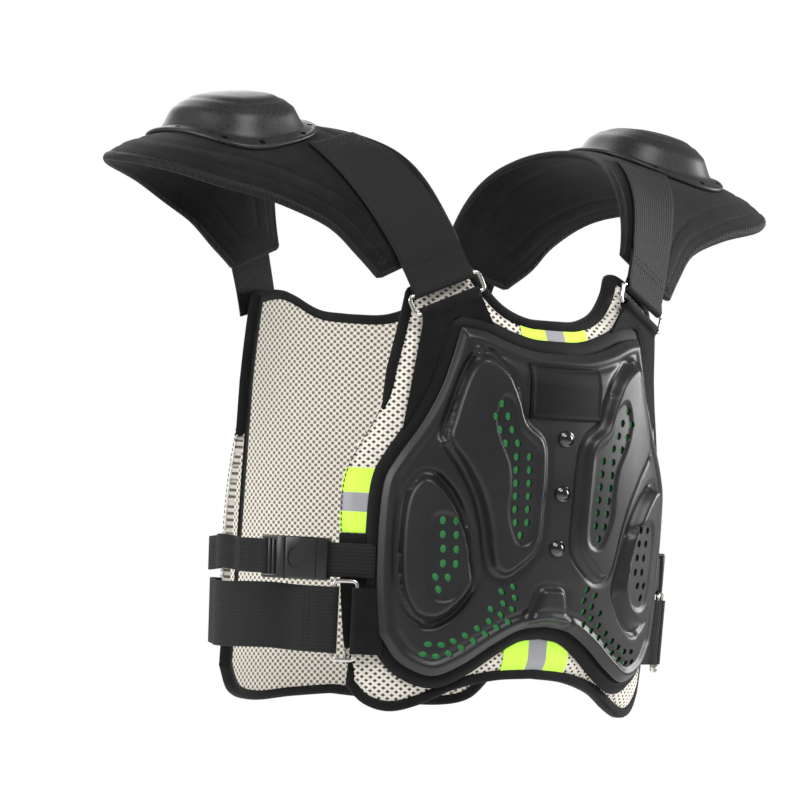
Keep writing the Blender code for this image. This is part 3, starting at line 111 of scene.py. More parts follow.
# Shoulders
RING_GIRTH = 86 * MM
RING_DROP = 127 * MM
SHOULDER_SPREAD = 152 * MM
SHOULDER_SETBACK = 22 * MM
SHOULDER_SLOPE = math.radians(4.5)
WING_REACH = 131 * MM
WING_SAG = 19 * MM
WING_THICKNESS = 9 * MM
WING_EDGE = 4.5 * MM
WING_TOP = -STRAP_THICKNESS / 2 - 1 * MM
WING_CHANNELS = (10 * MM, 22 * MM)
CAP_SIZE = (116 * MM, 106 * MM)
CAP_RISE = 21 * MM
CAP_WALL = 2.5 * MM
CAP_FLANGE = 9 * MM
CAP_OUTSET = 38 * MM
CAP_HOLES = 10
CAP_SQUARENESS = 0.72
CAP_FORWARD = 0.020
CAP_TO_STRAP = 0.010

# Torso sections: share of the drop, of the half width, and of the front depth
TORSO_SECTIONS = (
    (0.000, 0.960, 0.620), (0.130, 0.975, 0.790), (0.217, 0.985, 0.910), (0.261, 0.990, 0.965),
    (0.326, 1.000, 1.000), (0.478, 1.000, 1.015), (0.652, 0.990, 1.000), (0.826, 0.975, 0.975),
    (1.000, 0.960, 0.950),
)

# Half outlines of the panels: shares of the half width and of the height
CHEST_PAD = {
    "top": ((0.000, 0.878), (0.140, 0.881), (0.260, 0.905), (0.350, 0.950), (0.410, 0.992),
            (0.480, 0.990), (0.600, 0.962), (0.718, 0.930)),
    "side": ((0.718, 0.930), (0.744, 0.869), (0.782, 0.781), (0.818, 0.705), (0.880, 0.635),
             (0.968, 0.550), (1.000, 0.483), (0.996, 0.365), (0.972, 0.210), (0.950, 0.112),
             (0.912, 0.052)),
    "bottom": ((0.912, 0.052), (0.827, 0.014), (0.705, 0.000), (0.564, 0.018), (0.397, 0.055),
               (0.200, 0.078), (0.000, 0.085)),
}
CHEST_PLATE = {
    "top": ((0.000, 0.937), (0.170, 0.941), (0.330, 0.962), (0.470, 0.990), (0.602, 1.000)),
    "side": ((0.602, 1.000), (0.650, 0.906), (0.707, 0.815), (0.800, 0.717), (0.925, 0.614),
             (0.984, 0.543), (1.000, 0.402), (0.992, 0.224), (0.967, 0.110)),
    "bottom": ((0.967, 0.110), (0.850, 0.034), (0.670, 0.000), (0.500, 0.035), (0.320, 0.098),
               (0.160, 0.142), (0.000, 0.154)),
}
BACK_PAD = {
    "top": ((0.000, 0.955), (0.220, 0.960), (0.420, 0.990), (0.560, 1.000), (0.760, 0.985)),
    "side": ((0.760, 0.985), (0.800, 0.860), (0.850, 0.700), (0.960, 0.520), (1.000, 0.380),
             (1.000, 0.200), (0.950, 0.080)),
    "bottom": ((0.950, 0.080), (0.820, 0.018), (0.600, 0.000), (0.300, 0.010), (0.000, 0.020)),
}
BACK_PLATE = {
    "top": ((0.000, 0.970), (0.300, 0.978), (0.560, 1.000), (0.780, 0.990)),
    "side": ((0.780, 0.990), (0.800, 0.850), (0.850, 0.680), (0.960, 0.500), (1.000, 0.360),
             (1.000, 0.180), (0.930, 0.070)),
    "bottom": ((0.930, 0.070), (0.760, 0.010), (0.500, 0.000), (0.250, 0.008), (0.000, 0.015)),
}

# Relief of the chest plate's one half: closed outlines in millimetres of girth and height
PECTORAL = ((49, -173), (40, -183), (34, -200), (29, -215), (17, -227), (14, -247), (14, -275),
            (14, -295), (17, -309), (28, -321), (37, -327), (46, -323), (50, -308), (53, -290),
            (59, -270), (69, -250), (81, -231), (79, -214), (72, -186), (65, -172), (57, -168))
PECTORAL_STRIP = ((47, -196), (52, -211), (49, -228), (42, -246), (40, -262), (40, -283), (33, -303),
                  (24, -303), (20, -290), (20, -250), (22, -234), (34, -221), (39, -202))
POD = ((85, -261), (75, -274), (66, -293), (61, -318), (59, -335), (69, -351), (82, -361), (96, -358),
       (105, -342), (108, -318), (108, -290), (105, -270), (98, -259), (92, -257))
POD_STRIP = ((88, -287), (70, -287), (66, -300), (66, -330), (71, -345), (84, -347), (89, -333))
SPINE_BLOCK = ((-8.4, -336), (-12, -347), (-16.5, -360), (0, -358.5), (16.5, -360), (12, -347), (8.4, -336),
               (0, -335))
BRIDGES = ((84, -233), (63, -169))
SPINE_CHANNEL = ((0, -172), (-24, -190), (-28, -270), (-22, -360), (0, -378), (22, -360), (28, -270),
                 (24, -190))
SLOTS = (((58, -168.5), (50, -172), (42, -181), (38, -190)), ((86, -258), (77, -269), (71, -281), (67, -292)),
         ((60, -340), (69, -355), (82, -365), (90, -366)))

# Vent holes of the plate's one half: girth and height in millimetres, and lean in degrees
VENTS = (
    (48.6, -202.5, 0), (52.3, -212, 8), (44.0, -211.5, 8), (49.0, -221.5, 12), (41.0, -221, 12),
    (44.8, -231, 12), (36.8, -230.5, 12),
    (37.2, -240.5, 0), (28.4, -240, 0), (36.9, -250, 0), (27.9, -249.5, 0), (36.4, -259.5, 0),
    (27.5, -259, 0), (36.0, -269, 0), (27.2, -268.5, 0), (35.6, -278.5, 0), (26.9, -278, 0),
    (34.6, -288, 0), (26.6, -287.5, 0), (30.6, -297, 0),
    (82.0, -289, 0), (73.4, -289, 0), (81.4, -299, 0), (72.8, -299, 0), (80.6, -309.5, 0), (72.2, -309.5, 0),
    (80.2, -320, 0), (71.9, -320, 0), (84.5, -330, 25), (76.5, -330, 25), (82.0, -339, 25),
    (31, -360, 52), (39, -364.5, 56), (47, -369.5, 58), (55, -375, 60), (63, -380.5, 62), (71.5, -385, 64),
    (80, -387.5, 75), (89, -386.5, 88),
    (29, -351, 50), (37, -355.5, 54), (45, -360.5, 56), (53, -366, 58), (61, -371.5, 60), (69, -376, 64),
    (77, -379, 75), (86, -379, 88),
    (28, -342.5, 48), (36, -347, 50), (44.5, -351.5, 54), (30, -334.5, 46), (38, -338.5, 48),
)

# Wing of the shoulder pad: share of the run from chest to back, and of the reach
WING_OUTLINE = (
    (0.060, 0.310), (0.120, 0.350), (0.200, 0.410), (0.280, 0.590), (0.360, 0.860), (0.440, 1.000),
    (0.520, 1.000), (0.600, 0.850), (0.680, 0.570), (0.760, 0.400), (0.840, 0.330), (0.900, 0.235),
)

SIDES = (("right", -1), ("left", 1))


def linear(hex_colour):
    """Linear colour, with alpha, of an sRGB hex value."""
    parts = [int(hex_colour[k:k + 2], 16) / 255 for k in (1, 3, 5)]
    return tuple(p / 12.92 if p <= 0.04045 else ((p + 0.055) / 1.055) ** 2.4 for p in parts) + (1.0,)


def length(name, description, default):
    return FloatProperty(name=name, description=description, default=default, min=0.0, unit="LENGTH")


def colour(name, description, hex_colour):
    return FloatVectorProperty(name=name, description=description, default=linear(hex_colour), size=4,
                               min=0.0, max=1.0, subtype="COLOR")


class VestSizes(bpy.types.PropertyGroup):
    """Sizes of the fine work."""

    panel_rise: length("Panel rise", "How far the raised panels stand off the chest plate", 6.5 * MM)
    panel_slope: length("Panel slope", "Width of a raised panel's sloping wall", 4.2 * MM)
    groove_depth: length("Groove depth", "Depth of the grooves round the raised panels", 2.8 * MM)
    rim_width: length("Rim width", "Width of the plate's rolled rim", 8 * MM)
    net_width: length("Mesh width", "Width of one opening and thread of the spacer mesh", 6.2 * MM)
    net_height: length("Mesh height", "Height of one opening and thread of the spacer mesh", 5.0 * MM)
    net_thread: length("Mesh thread", "Half the width of the spacer mesh's thread bundle", 0.90 * MM)
    stitch_pitch: length("Stitch pitch", "Distance from one stitch to the next", 4.0 * MM)
    stitch_radius: length("Stitch radius", "Half the thickness of the sewing thread", 0.35 * MM)
    webbing: length("Webbing thickness", "Thickness of one layer of webbing", 1.3 * MM)
    vent_length: length("Vent length", "Long way of a vent hole", 6.0 * MM)
    vent_width: length("Vent width", "Short way of a vent hole", 4.2 * MM)


class VestColours(bpy.types.PropertyGroup):
    """Colours of the vest's materials."""

    shell: colour("Shell", "Moulded plates and caps", "#1d1d1f")
    foam: colour("Foam", "Moulded foam rim under the plate", "#080808")
    knit: colour("Knit", "Padded knit, tabs and bindings", "#111112")
    webbing: colour("Webbing", "Straps and belts", "#141415")
    mesh: colour("Mesh", "Threads of the spacer mesh", "#dad5cb")
    mesh_ground: colour("Mesh ground", "Foam seen through the spacer mesh", "#6f685c")
    # The liner colour is also the colour of the liner's painted glow.
    liner: colour("Liner", "Air mesh behind the vents", "#62cc78")
    hi_vis: colour("Fluorescent tape", "Yellow of the reflective tapes", "#c5fd4b")
    reflective: colour("Reflective tape", "Grey middle of the reflective tapes", "#8e8e92")
    plastic: colour("Plastic", "Buckles and snaps", "#161616")
    nickel: colour("Nickel", "Plating of the wire rings", "#b9b6b0")
    badge: colour("Badge", "Bare rubber badge", "#0a0a0b")


# Curves and outlines


def smooth(value):
    value = np.clip(value, 0.0, 1.0)
    return value * value * (3 - 2 * value)


def curve_through(points, count):
    """Points evenly spaced along a smooth curve through the given ones."""
    knots = np.array(points, float)
    padded = np.vstack([2 * knots[0] - knots[1], knots, 2 * knots[-1] - knots[-2]])
    dense = []
    for k in range(len(knots) - 1):
        p0, p1, p2, p3 = padded[k:k + 4]
        for t in np.linspace(0.0, 1.0, 12, endpoint=False):
            dense.append(0.5 * (2 * p1 + (p2 - p0) * t + (2 * p0 - 5 * p1 + 4 * p2 - p3) * t * t
                                + (3 * p1 - p0 - 3 * p2 + p3) * t ** 3))
    dense.append(knots[-1])
    return even_points(np.array(dense), count)


def even_points(line, count):
    lengths = np.concatenate([[0.0], np.cumsum(np.linalg.norm(np.diff(line, axis=0), axis=1))])
    wanted = np.linspace(0.0, lengths[-1], count)
    return np.stack([np.interp(wanted, lengths, line[:, k]) for k in range(line.shape[1])], axis=1)


def round_loop(points, count):
    """A smooth closed curve through the points, without the repeat of its start."""
    rows = np.array(points, float)
    turned = np.vstack([rows[-3:], rows, rows[:3]])
    dense = curve_through(turned, 24 * len(turned))
    start = np.argmin(np.linalg.norm(dense - rows[0], axis=1)[:len(dense) // 2])
    rest = dense[start + 12 * len(rows):]
    stop = start + 12 * len(rows) + int(np.argmin(np.linalg.norm(rest - rows[0], axis=1)))
    return even_points(dense[start:stop + 1], count + 1)[:-1]


def half_sides(table, size, across, upward):
    """The four sides of a mirrored panel in girth and height."""
    half_width, height, top = size
    scale, base = np.array([half_width, height]), np.array([0.0, top - height])
    mirror = np.array([-1.0, 1.0])
    right_top, right_side, right_bottom = (
        curve_through(np.array(table[key]) * scale + base, count)
        for key, count in (("top", across // 2 + 1), ("side", upward + 1), ("bottom", across // 2 + 1))
    )
    return {
        "top": np.vstack([right_top[::-1] * mirror, right_top[1:]]),
        "bottom": np.vstack([right_bottom * mirror, right_bottom[::-1][1:]]),
        "left": right_side[::-1] * mirror,
        "right": right_side[::-1],
    }


def loop_of(sides):
    return np.vstack([sides["bottom"][:-1], sides["right"][:-1], sides["top"][::-1][:-1],
                      sides["left"][::-1][:-1]])


def outline_of(table, size, across, upward):
    """A mirrored panel's closed outline."""
    return loop_of(half_sides(table, size, across, upward))


def loop_normals(loop):
    """Ways out of an anticlockwise loop."""
    along = np.roll(loop, -1, axis=0) - np.roll(loop, 1, axis=0)
    along /= np.linalg.norm(along, axis=1)[:, None]
    return np.stack([along[:, 1], -along[:, 0]], axis=1)


def grown(sides, margin):
    """The sides moved outward by a margin."""
    loop = loop_of(sides)
    moved = loop + loop_normals(loop) * margin
    across, upward = len(sides["bottom"]) - 1, len(sides["right"]) - 1
    closed = np.vstack([moved, moved[:1]])
    return {
        "bottom": closed[:across + 1],
        "right": closed[across:across + upward + 1],
        "top": closed[across + upward:2 * across + upward + 1][::-1],
        "left": closed[2 * across + upward:][::-1],
    }


def fill_sides(sides):
    """A function from shares across and up to points that fill the four sides."""

    def along(side, share):
        place = share * (len(side) - 1)
        return np.stack([np.interp(place, np.arange(len(side)), side[:, k]) for k in (0, 1)], axis=1)

    def fill(s, t):
        bottom, top = along(sides["bottom"], s), along(sides["top"], s)
        left, right = along(sides["left"], t), along(sides["right"], t)
        s, t = s[:, None], t[:, None]
        ruled = (1 - t) * bottom + t * top + (1 - s) * left + s * right
        corners = ((1 - s) * (1 - t) * sides["bottom"][0] + s * (1 - t) * sides["bottom"][-1]
                   + (1 - s) * t * sides["top"][0] + s * t * sides["top"][-1])
        return ruled - corners

    return fill


def fill_box(low, high):
    """The same for a plain rectangle."""
    low, high = np.array(low), np.array(high)
    return lambda s, t: low + np.stack([s, t], axis=1) * (high - low)


def line_distance(points, line, closed):
    ends = np.roll(line, -1, axis=0)
    best = np.full(len(points), 9.0)
    for a, b in list(zip(line, ends))[:None if closed else -1]:
        way = b - a
        share = np.clip((points - a) @ way / max(way @ way, 1e-12), 0.0, 1.0)
        off = points - a - share[:, None] * way
        best = np.minimum(best, (off * off).sum(axis=1))
    return np.sqrt(best)


def depth_inside(points, loop):
    """Distance from a closed outline, positive inside it."""
    inside = np.zeros(len(points), bool)
    for a, b in zip(loop, np.roll(loop, -1, axis=0)):
        if a[1] == b[1]:
            continue
        crosses = (a[1] > points[:, 1]) != (b[1] > points[:, 1])
        reach = a[0] + (points[:, 1] - a[1]) * (b[0] - a[0]) / (b[1] - a[1])
        inside ^= crosses & (points[:, 0] < reach)
    distance = line_distance(points, loop, True)
    return np.where(inside, distance, -distance)


def edge_at(loop, value, axis, pick):
    """Where a loop crosses a girth (axis 0) or a height (axis 1): the most or least of its crossings."""
    found = []
    for a, b in zip(loop, np.roll(loop, -1, axis=0)):
        if (a[axis] - value) * (b[axis] - value) <= 0 and a[axis] != b[axis]:
            share = (value - a[axis]) / (b[axis] - a[axis])
            found.append(a[1 - axis] + share * (b[1 - axis] - a[1 - axis]))
    return pick(found)


# The torso and the shoulder, which flat pieces are bent round

SECTION_CURVE = curve_through(TORSO_SECTIONS, 240)


def girth_table(depth):
    angles = np.linspace(0.0, math.pi / 2, 361)
    steps = np.hypot(TORSO_HALF_WIDTH * np.cos(angles), depth * np.sin(angles))
    return angles, np.concatenate([[0.0], np.cumsum((steps[1:] + steps[:-1]) / 2 * np.diff(angles))])


FRONT_GIRTH = girth_table(TORSO_FRONT_DEPTH)
BACK_GIRTH = girth_table(TORSO_BACK_DEPTH)
HALF_GIRTH = float(FRONT_GIRTH[1][-1] + BACK_GIRTH[1][-1])


def on_torso(flat):
    """Points of girth from the centre front, height and lift, bent round the torso."""
    girth, height, lift = np.asarray(flat, float).T
    reach = np.abs(girth)
    beyond = BACK_GIRTH[1][-1] - (reach - FRONT_GIRTH[1][-1])
    angle = np.where(reach <= FRONT_GIRTH[1][-1], np.interp(reach, FRONT_GIRTH[1], FRONT_GIRTH[0]),
                     math.pi - np.interp(beyond, BACK_GIRTH[1], BACK_GIRTH[0])) * np.sign(girth)
    drop = -height / TORSO_BOTTOM_DROP
    width = TORSO_HALF_WIDTH * np.interp(drop, SECTION_CURVE[:, 0], SECTION_CURVE[:, 1])
    front = TORSO_FRONT_DEPTH * np.interp(drop, SECTION_CURVE[:, 0], SECTION_CURVE[:, 2])
    depth = np.where(np.abs(angle) <= math.pi / 2, front, TORSO_BACK_DEPTH)
    return np.stack([(width + lift) * np.sin(angle), -(depth + lift) * np.cos(angle), height], axis=1)


def on_back(flat):
    """The same with the girth counted from the centre back."""
    turned = np.array(flat, float)
    turned[:, 0] = np.where(turned[:, 0] < 0, -1, 1) * (HALF_GIRTH - np.abs(turned[:, 0]))
    return on_torso(turned)


def surface_normal(place, girth, height):
    step = 1 * MM
    spots = place([(girth + step, height, 0), (girth - step, height, 0), (girth, height + step, 0),
                   (girth, height - step, 0), (girth, height, step), (girth, height, 0)])
    normal = np.cross(spots[0] - spots[1], spots[2] - spots[3])
    normal /= np.linalg.norm(normal)
    return normal if normal @ (spots[4] - spots[5]) > 0 else -normal


class ShoulderRun:
    """The way of one shoulder's straps, from the chest ring over the shoulder to the back pad."""

    def __init__(self, side):
        self.side = side
        strap_lift = LAYER + 1 * MM + WIRE_EYE + STRAP_THICKNESS
        end_height = BACK_PLATE_SIZE[2] + 6 * MM
        front = on_torso([(RING_GIRTH, -RING_DROP + SHOULDER_RING[1] / 2, strap_lift)])[0]
        back = on_back([(RING_GIRTH, end_height, LAYER + STRAP_THICKNESS / 2)])[0]
        top = np.array([SHOULDER_SPREAD, SHOULDER_SETBACK, -STRAP_THICKNESS / 2])
        normals = (surface_normal(on_torso, RING_GIRTH, -RING_DROP),
                   np.array([math.sin(SHOULDER_SLOPE), 0.0, math.cos(SHOULDER_SLOPE)]),
                   surface_normal(on_back, RING_GIRTH, end_height))
        front_reach = np.linalg.norm(top - front) * 0.46
        back_reach = np.linalg.norm(top - back) * 0.50
        front_way = np.array([0.34, 0.24, 0.91]) / np.linalg.norm([0.34, 0.24, 0.91])
        back_way = np.array([0.22, -0.02, 0.97]) / np.linalg.norm([0.22, -0.02, 0.97])
        rearward = np.array([0.0, 1.0, 0.0])
        curves = ((front, front + front_way * front_reach, top - rearward * front_reach * 0.78, top),
                  (top, top + rearward * back_reach, back + back_way * back_reach, back))
        t = np.linspace(0.0, 1.0, 121)[:, None]
        halves = [p * (1 - t) ** 3 + q * 3 * t * (1 - t) ** 2 + r * 3 * t * t * (1 - t) + s * t ** 3
                  for p, q, r, s in curves]
        line = np.vstack([halves[0], halves[1][1:]])
        lengths = np.concatenate([[0.0], np.cumsum(np.linalg.norm(np.diff(line, axis=0), axis=1))])
        self.length = float(lengths[-1])
        self.top_share = float(lengths[120] / self.length)
        self.shares = np.linspace(0.0, 1.0, 241)
        self.centres = np.stack([np.interp(self.shares * self.length, lengths, line[:, k])
                                 for k in range(3)], axis=1)
        along = np.gradient(self.centres, axis=0)
        along = np.stack([np.convolve(np.pad(along[:, k], 3, "edge"), np.ones(7) / 7, "valid")
                          for k in range(3)], axis=1)
        self.along = along / np.linalg.norm(along, axis=1)[:, None]
        rise = smooth(self.shares / self.top_share)[:, None]
        fall = smooth((self.shares - self.top_share) / (1 - self.top_share))[:, None]
        ahead = self.shares[:, None] < self.top_share
        facing = np.where(ahead, normals[0] * (1 - rise) + normals[1] * rise,
                          normals[1] * (1 - fall) + normals[2] * fall)
        outward = np.cross(self.along, facing)
        self.outward = outward / np.linalg.norm(outward, axis=1)[:, None]
        self.normals = np.cross(self.outward, self.along)

    def read(self, table, share):
        return np.stack([np.interp(share, self.shares, table[:, k]) for k in range(3)], axis=1)

    def place(self, flat):
        """Points of distance along the run, distance outward and lift, on this side's shoulder."""
        far, out, lift = np.asarray(flat, float).T
        share = far / self.length
        centre, along = self.read(self.centres, share), self.read(self.along, share)
        over = (far - np.clip(far, 0.0, self.length))[:, None]
        points = (centre + along * over + self.read(self.outward, share) * out[:, None]
                  + self.read(self.normals, share) * lift[:, None])
        points[:, 2] -= WING_SAG * (np.maximum(0.0, out) / WING_REACH) ** 3
        points[:, 0] *= self.side
        return points


RUNS = {name: ShoulderRun(side) for name, side in SIDES}


# Modelling helpers


def read_points(piece):
    points = np.empty(len(piece.data.vertices) * 3, np.float32)
    piece.data.vertices.foreach_get("co", points)
    return points.reshape(-1, 3).astype(float)


def write_points(piece, points):
    piece.data.vertices.foreach_set("co", np.ascontiguousarray(points, np.float32).ravel())
    piece.data.update()


def only(piece):
    bpy.ops.object.select_all(action="DESELECT")
    piece.select_set(True)
    bpy.context.view_layer.objects.active = piece


def modify(piece, kind, **settings):
    only(piece)
    step = piece.modifiers.new(kind.title(), kind)
    for key, value in settings.items():
        setattr(step, key, value)
    bpy.ops.object.modifier_apply(modifier=step.name)


def fresh(name):
    """The object that an operator has just added, under its own name."""
    piece = bpy.context.object
    piece.name = name
    piece.data.name = name
    return piece


def flat_panel(name, across, upward, fill):
    """A closed flat panel, a grid that fills an outline, with thin walls for set_lifts to place."""
    bpy.ops.object.select_all(action="DESELECT")
    bpy.ops.mesh.primitive_grid_add(x_subdivisions=across, y_subdivisions=upward, size=2.0)
    piece = fresh(name)
    spots = (read_points(piece)[:, :2] + 1) / 2
    flat = fill(spots[:, 0], spots[:, 1])
    write_points(piece, np.column_stack([flat, np.zeros(len(flat))]))
    modify(piece, "SOLIDIFY", thickness=FLAT_WALL, offset=0.0)
    return piece


def set_lifts(piece, top, bottom):
    """Moves the upper and the lower face of a flat panel to their lifts."""
    points = read_points(piece)
    upper = points[:, 2] > 0
    points[upper, 2] = top(points[upper, :2])
    points[~upper, 2] = bottom(points[~upper, :2])
    write_points(piece, points)


def store_map(piece, flat):
    """Stores a flat place for each vertex as the piece's UV map, in metres."""
    mesh = piece.data
    layer = mesh.uv_layers.get("cut") or mesh.uv_layers.new(name="cut")
    corners = np.empty(len(mesh.loops), np.int32)
    mesh.loops.foreach_get("vertex_index", corners)
    layer.data.foreach_set("uv", np.ascontiguousarray(flat[corners], np.float32).ravel())


def keep_flat_map(piece):
    """Keeps the lengths of a piece while it is flat, for weaves and stripes."""
    store_map(piece, read_points(piece)[:, :2])


def bend(piece, place):
    write_points(piece, place(read_points(piece)))


def face_outward(piece):
    only(piece)
    bpy.ops.object.mode_set(mode="EDIT")
    bpy.ops.mesh.select_all(action="SELECT")
    bpy.ops.mesh.normals_make_consistent(inside=False)
    bpy.ops.object.mode_set(mode="OBJECT")


def hand_over(piece, material, slot, nodes=(), sharp=40, outward=True):
    """Finishes a piece: faces outward, smooth shading, its material and body, and hides the CAD nodes it
    replaces; the slot is not used.
    """
    if outward:
        face_outward(piece)
    only(piece)
    bpy.ops.object.shade_smooth_by_angle(angle=math.radians(sharp))
    piece.data.materials.clear()
    piece.data.materials.append(material)
    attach(piece, "root")
    if nodes:
        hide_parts(*nodes)
    return piece


def swept_ring(name, loop, section, facets):
    """A torus reshaped: its long way follows a closed loop, its short way the section."""
    bpy.ops.object.select_all(action="DESELECT")
    bpy.ops.mesh.primitive_torus_add(major_segments=len(loop), minor_segments=facets,
                                     major_radius=1.0, minor_radius=0.25)
    piece = fresh(name)
    points = [section(k, 2 * math.pi * j / facets) for k in range(len(loop)) for j in range(facets)]
    write_points(piece, np.array(points))
    return piece


def join(name, pieces):
    bpy.ops.object.select_all(action="DESELECT")
    for piece in pieces:
        piece.select_set(True)
    bpy.context.view_layer.objects.active = pieces[0]
    bpy.ops.object.join()
    return fresh(name)


def cut(piece, cutters):
    """Cuts the joined cutters out of the piece and removes them."""
    tool = join("cutter", cutters) if len(cutters) > 1 else cutters[0]
    modify(piece, "BOOLEAN", operation="DIFFERENCE", solver="EXACT", object=tool)
    bpy.data.objects.remove(tool, do_unlink=True)


def add_post(centre, half_long, half_short, turn, low, high, sides=8):
    """An upright post in flat space, for cutting a hole or standing as a peg."""
    bpy.ops.object.select_all(action="DESELECT")
    bpy.ops.mesh.primitive_cylinder_add(vertices=sides, radius=1.0, depth=1.0)
    post = fresh("post")
    points = read_points(post)
    x, y = points[:, 0] * half_short, points[:, 1] * half_long
    c, s = math.cos(turn), math.sin(turn)
    flat = np.column_stack([centre[0] + x * c + y * s, centre[1] - x * s + y * c,
                            np.where(points[:, 2] > 0, high, low)])
    write_points(post, flat)
    return post


def add_block(name, low, high, bevel):
    """A block with rounded edges between two corners, in flat space."""
    bpy.ops.object.select_all(action="DESELECT")
    bpy.ops.mesh.primitive_cube_add(size=2.0)
    block = fresh(name)
    low, high = np.array(low), np.array(high)
    write_points(block, (low + high) / 2 + read_points(block) * (high - low) / 2)
    if bevel:
        modify(block, "BEVEL", width=bevel, segments=3, limit_method="NONE")
    return block


def copies(name, pattern, frames):
    """One mesh of many copies of a small pattern piece, each under its own 4x4 frame."""
    points = read_points(pattern)
    faces = np.array([list(p.vertices) for p in pattern.data.polygons if len(p.vertices) == 4])
    tips = np.array([list(p.vertices) for p in pattern.data.polygons if len(p.vertices) == 3])
    count = len(frames)
    frames = np.array(frames)
    placed = np.einsum("kij,nj->kni", frames[:, :3, :3], points) + frames[:, None, :3, 3]
    offsets = (np.arange(count) * len(points))[:, None, None]
    polygons = [tuple(f) for f in (faces[None] + offsets).reshape(-1, 4)]
    polygons += [tuple(f) for f in (tips[None] + offsets).reshape(-1, 3)] if len(tips) else []
    mesh = bpy.data.meshes.new(name)
    mesh.from_pydata(placed.reshape(-1, 3).tolist(), [], [[int(v) for v in p] for p in polygons])
    piece = bpy.data.objects.new(name, mesh)
    bpy.context.scene.collection.objects.link(piece)
    return piece


def stitches(name, lines, place, material, slot):
    """Rows of sewing stitches along flat lines of girth, height and lift."""
    sizes = bpy.context.scene.vest_sizes
    frames = []
    for line in lines:
        points = place(np.array(line, float))
        total = np.linalg.norm(np.diff(points, axis=0), axis=1).sum()
        count = max(2, int(total / sizes.stitch_pitch))
        spots = even_points(points, 2 * count + 1)
        lifted = place(np.array(line, float) + np.array([0, 0, 1 * MM]))
        ups = even_points(lifted, 2 * count + 1) - spots
        for k in range(count):
            centre, along = spots[2 * k + 1], spots[2 * k + 2] - spots[2 * k]
            along = along / np.linalg.norm(along)
            up = ups[2 * k + 1] - along * (ups[2 * k + 1] @ along)
            up = up / np.linalg.norm(up)
            matrix = np.eye(4)
            matrix[:3, 0] = along * sizes.stitch_pitch * 0.40
            matrix[:3, 1] = np.cross(up, along) * sizes.stitch_radius * 1.3
            matrix[:3, 2] = up * sizes.stitch_radius
            matrix[:3, 3] = centre
            frames.append(matrix)
    bpy.ops.object.select_all(action="DESELECT")
    bpy.ops.mesh.primitive_uv_sphere_add(segments=6, ring_count=4, radius=1.0, rotation=(0, math.pi / 2, 0))
    pattern = fresh("stitch")
    bpy.ops.object.transform_apply(location=False, rotation=True, scale=False)
    piece = copies(name, pattern, frames)
    bpy.data.objects.remove(pattern, do_unlink=True)
    return hand_over(piece, material, slot)


def offset_line(loop, inset, lift, start=0.0, stop=1.0):
    """A line set in from a closed anticlockwise loop, between two shares of its length."""
    moved = loop - loop_normals(loop) * inset
    closed = np.vstack([moved, moved[:1]])
    count = len(closed)
    part = closed[int(start * (count - 1)):int(stop * (count - 1)) + 1]
    return np.column_stack([part, lift(part) if callable(lift) else np.full(len(part), lift)])


def webbing(name, centreline, width, place, steps, across=6):
    """A band of webbing whose middle follows a line of distance and lift, then bent by place."""
    thick = bpy.context.scene.vest_sizes.webbing
    line = even_points(np.array(centreline, float), 400)
    lengths = np.concatenate([[0.0], np.cumsum(np.linalg.norm(np.diff(line, axis=0), axis=1))])
    way = np.gradient(line, axis=0)
    way /= np.linalg.norm(way, axis=1)[:, None]
    piece = flat_panel(name, steps, across, fill_box((0.0, -width / 2), (lengths[-1], width / 2)))
    set_lifts(piece, lambda flat: np.full(len(flat), thick / 2), lambda flat: np.full(len(flat), -thick / 2))
    modify(piece, "BEVEL", width=0.3 * thick, segments=2, limit_method="ANGLE", angle_limit=CLOTH_EDGE_ANGLE)
    keep_flat_map(piece)
    flat = read_points(piece)
    at = [np.interp(flat[:, 0], lengths, column) for column in (line[:, 0], line[:, 1], way[:, 0], way[:, 1])]
    folded = np.column_stack([at[0] - at[3] * flat[:, 2], flat[:, 1], at[1] + at[2] * flat[:, 2]])
    write_points(piece, place(folded))
    return piece


def folded_line(eye, thick, tail, rest):
    """Distance and lift of webbing that comes back from a fold round a bar at the origin."""
    radius = eye + thick / 2
    line = [(tail, -0.55 * thick), (radius * 3.2, -0.55 * thick)]
    line += [(radius * math.cos(a), radius * math.sin(a)) for a in np.radians(np.linspace(-62, -298, 15))]
    line += [(radius * 3.2, 0.55 * thick), (tail + 2 * MM, 0.55 * thick), (tail + 8 * MM, 0.0)]
    return line + list(rest)


# Materials


def add_node(tree, kind, sockets=(), into=None, **properties):
    """Adds a node, sets its properties, sets or links its sockets, and may link its output onward."""
    node = tree.nodes.new("ShaderNode" + kind)
    for key, value in properties.items():
        setattr(node, key, value)
    for key, value in dict(sockets).items():
        if isinstance(value, bpy.types.NodeSocket):
            tree.links.new(value, node.inputs[key])
        else:
            node.inputs[key].default_value = value
    if into is not None:
        tree.links.new(node.outputs[0], into)
    return node


def new_material(name, base, roughness, **settings):
    made = bpy.data.materials.new(name)
    made.use_nodes = True
    tree = made.node_tree
    shader = tree.nodes["Principled BSDF"]
    shader.inputs["Base Color"].default_value = base
    shader.inputs["Roughness"].default_value = roughness
    for key, value in settings.items():
        shader.inputs[key.replace("_", " ")].default_value = value
    return made, tree, shader


def in_millimetres(tree, place):
    """The millimetres of a place along its three axes."""
    scaled = add_node(tree, "VectorMath", {0: place, "Scale": 1 / MM}, operation="SCALE")
    return add_node(tree, "SeparateXYZ", {0: scaled.outputs[0]}).outputs


def cut_map(tree):
    """Millimetres across and along the flat piece, from its own UV map."""
    return in_millimetres(tree, add_node(tree, "UVMap", uv_map="cut").outputs["UV"])


def ripple(tree, source, period):
    """A wave from -1 to 1 with a period in the units of its source."""
    turned = add_node(tree, "Math", {0: source, 1: 2 * math.pi / period}, operation="MULTIPLY")
    return add_node(tree, "Math", {0: turned.outputs[0]}, operation="COSINE").outputs[0]


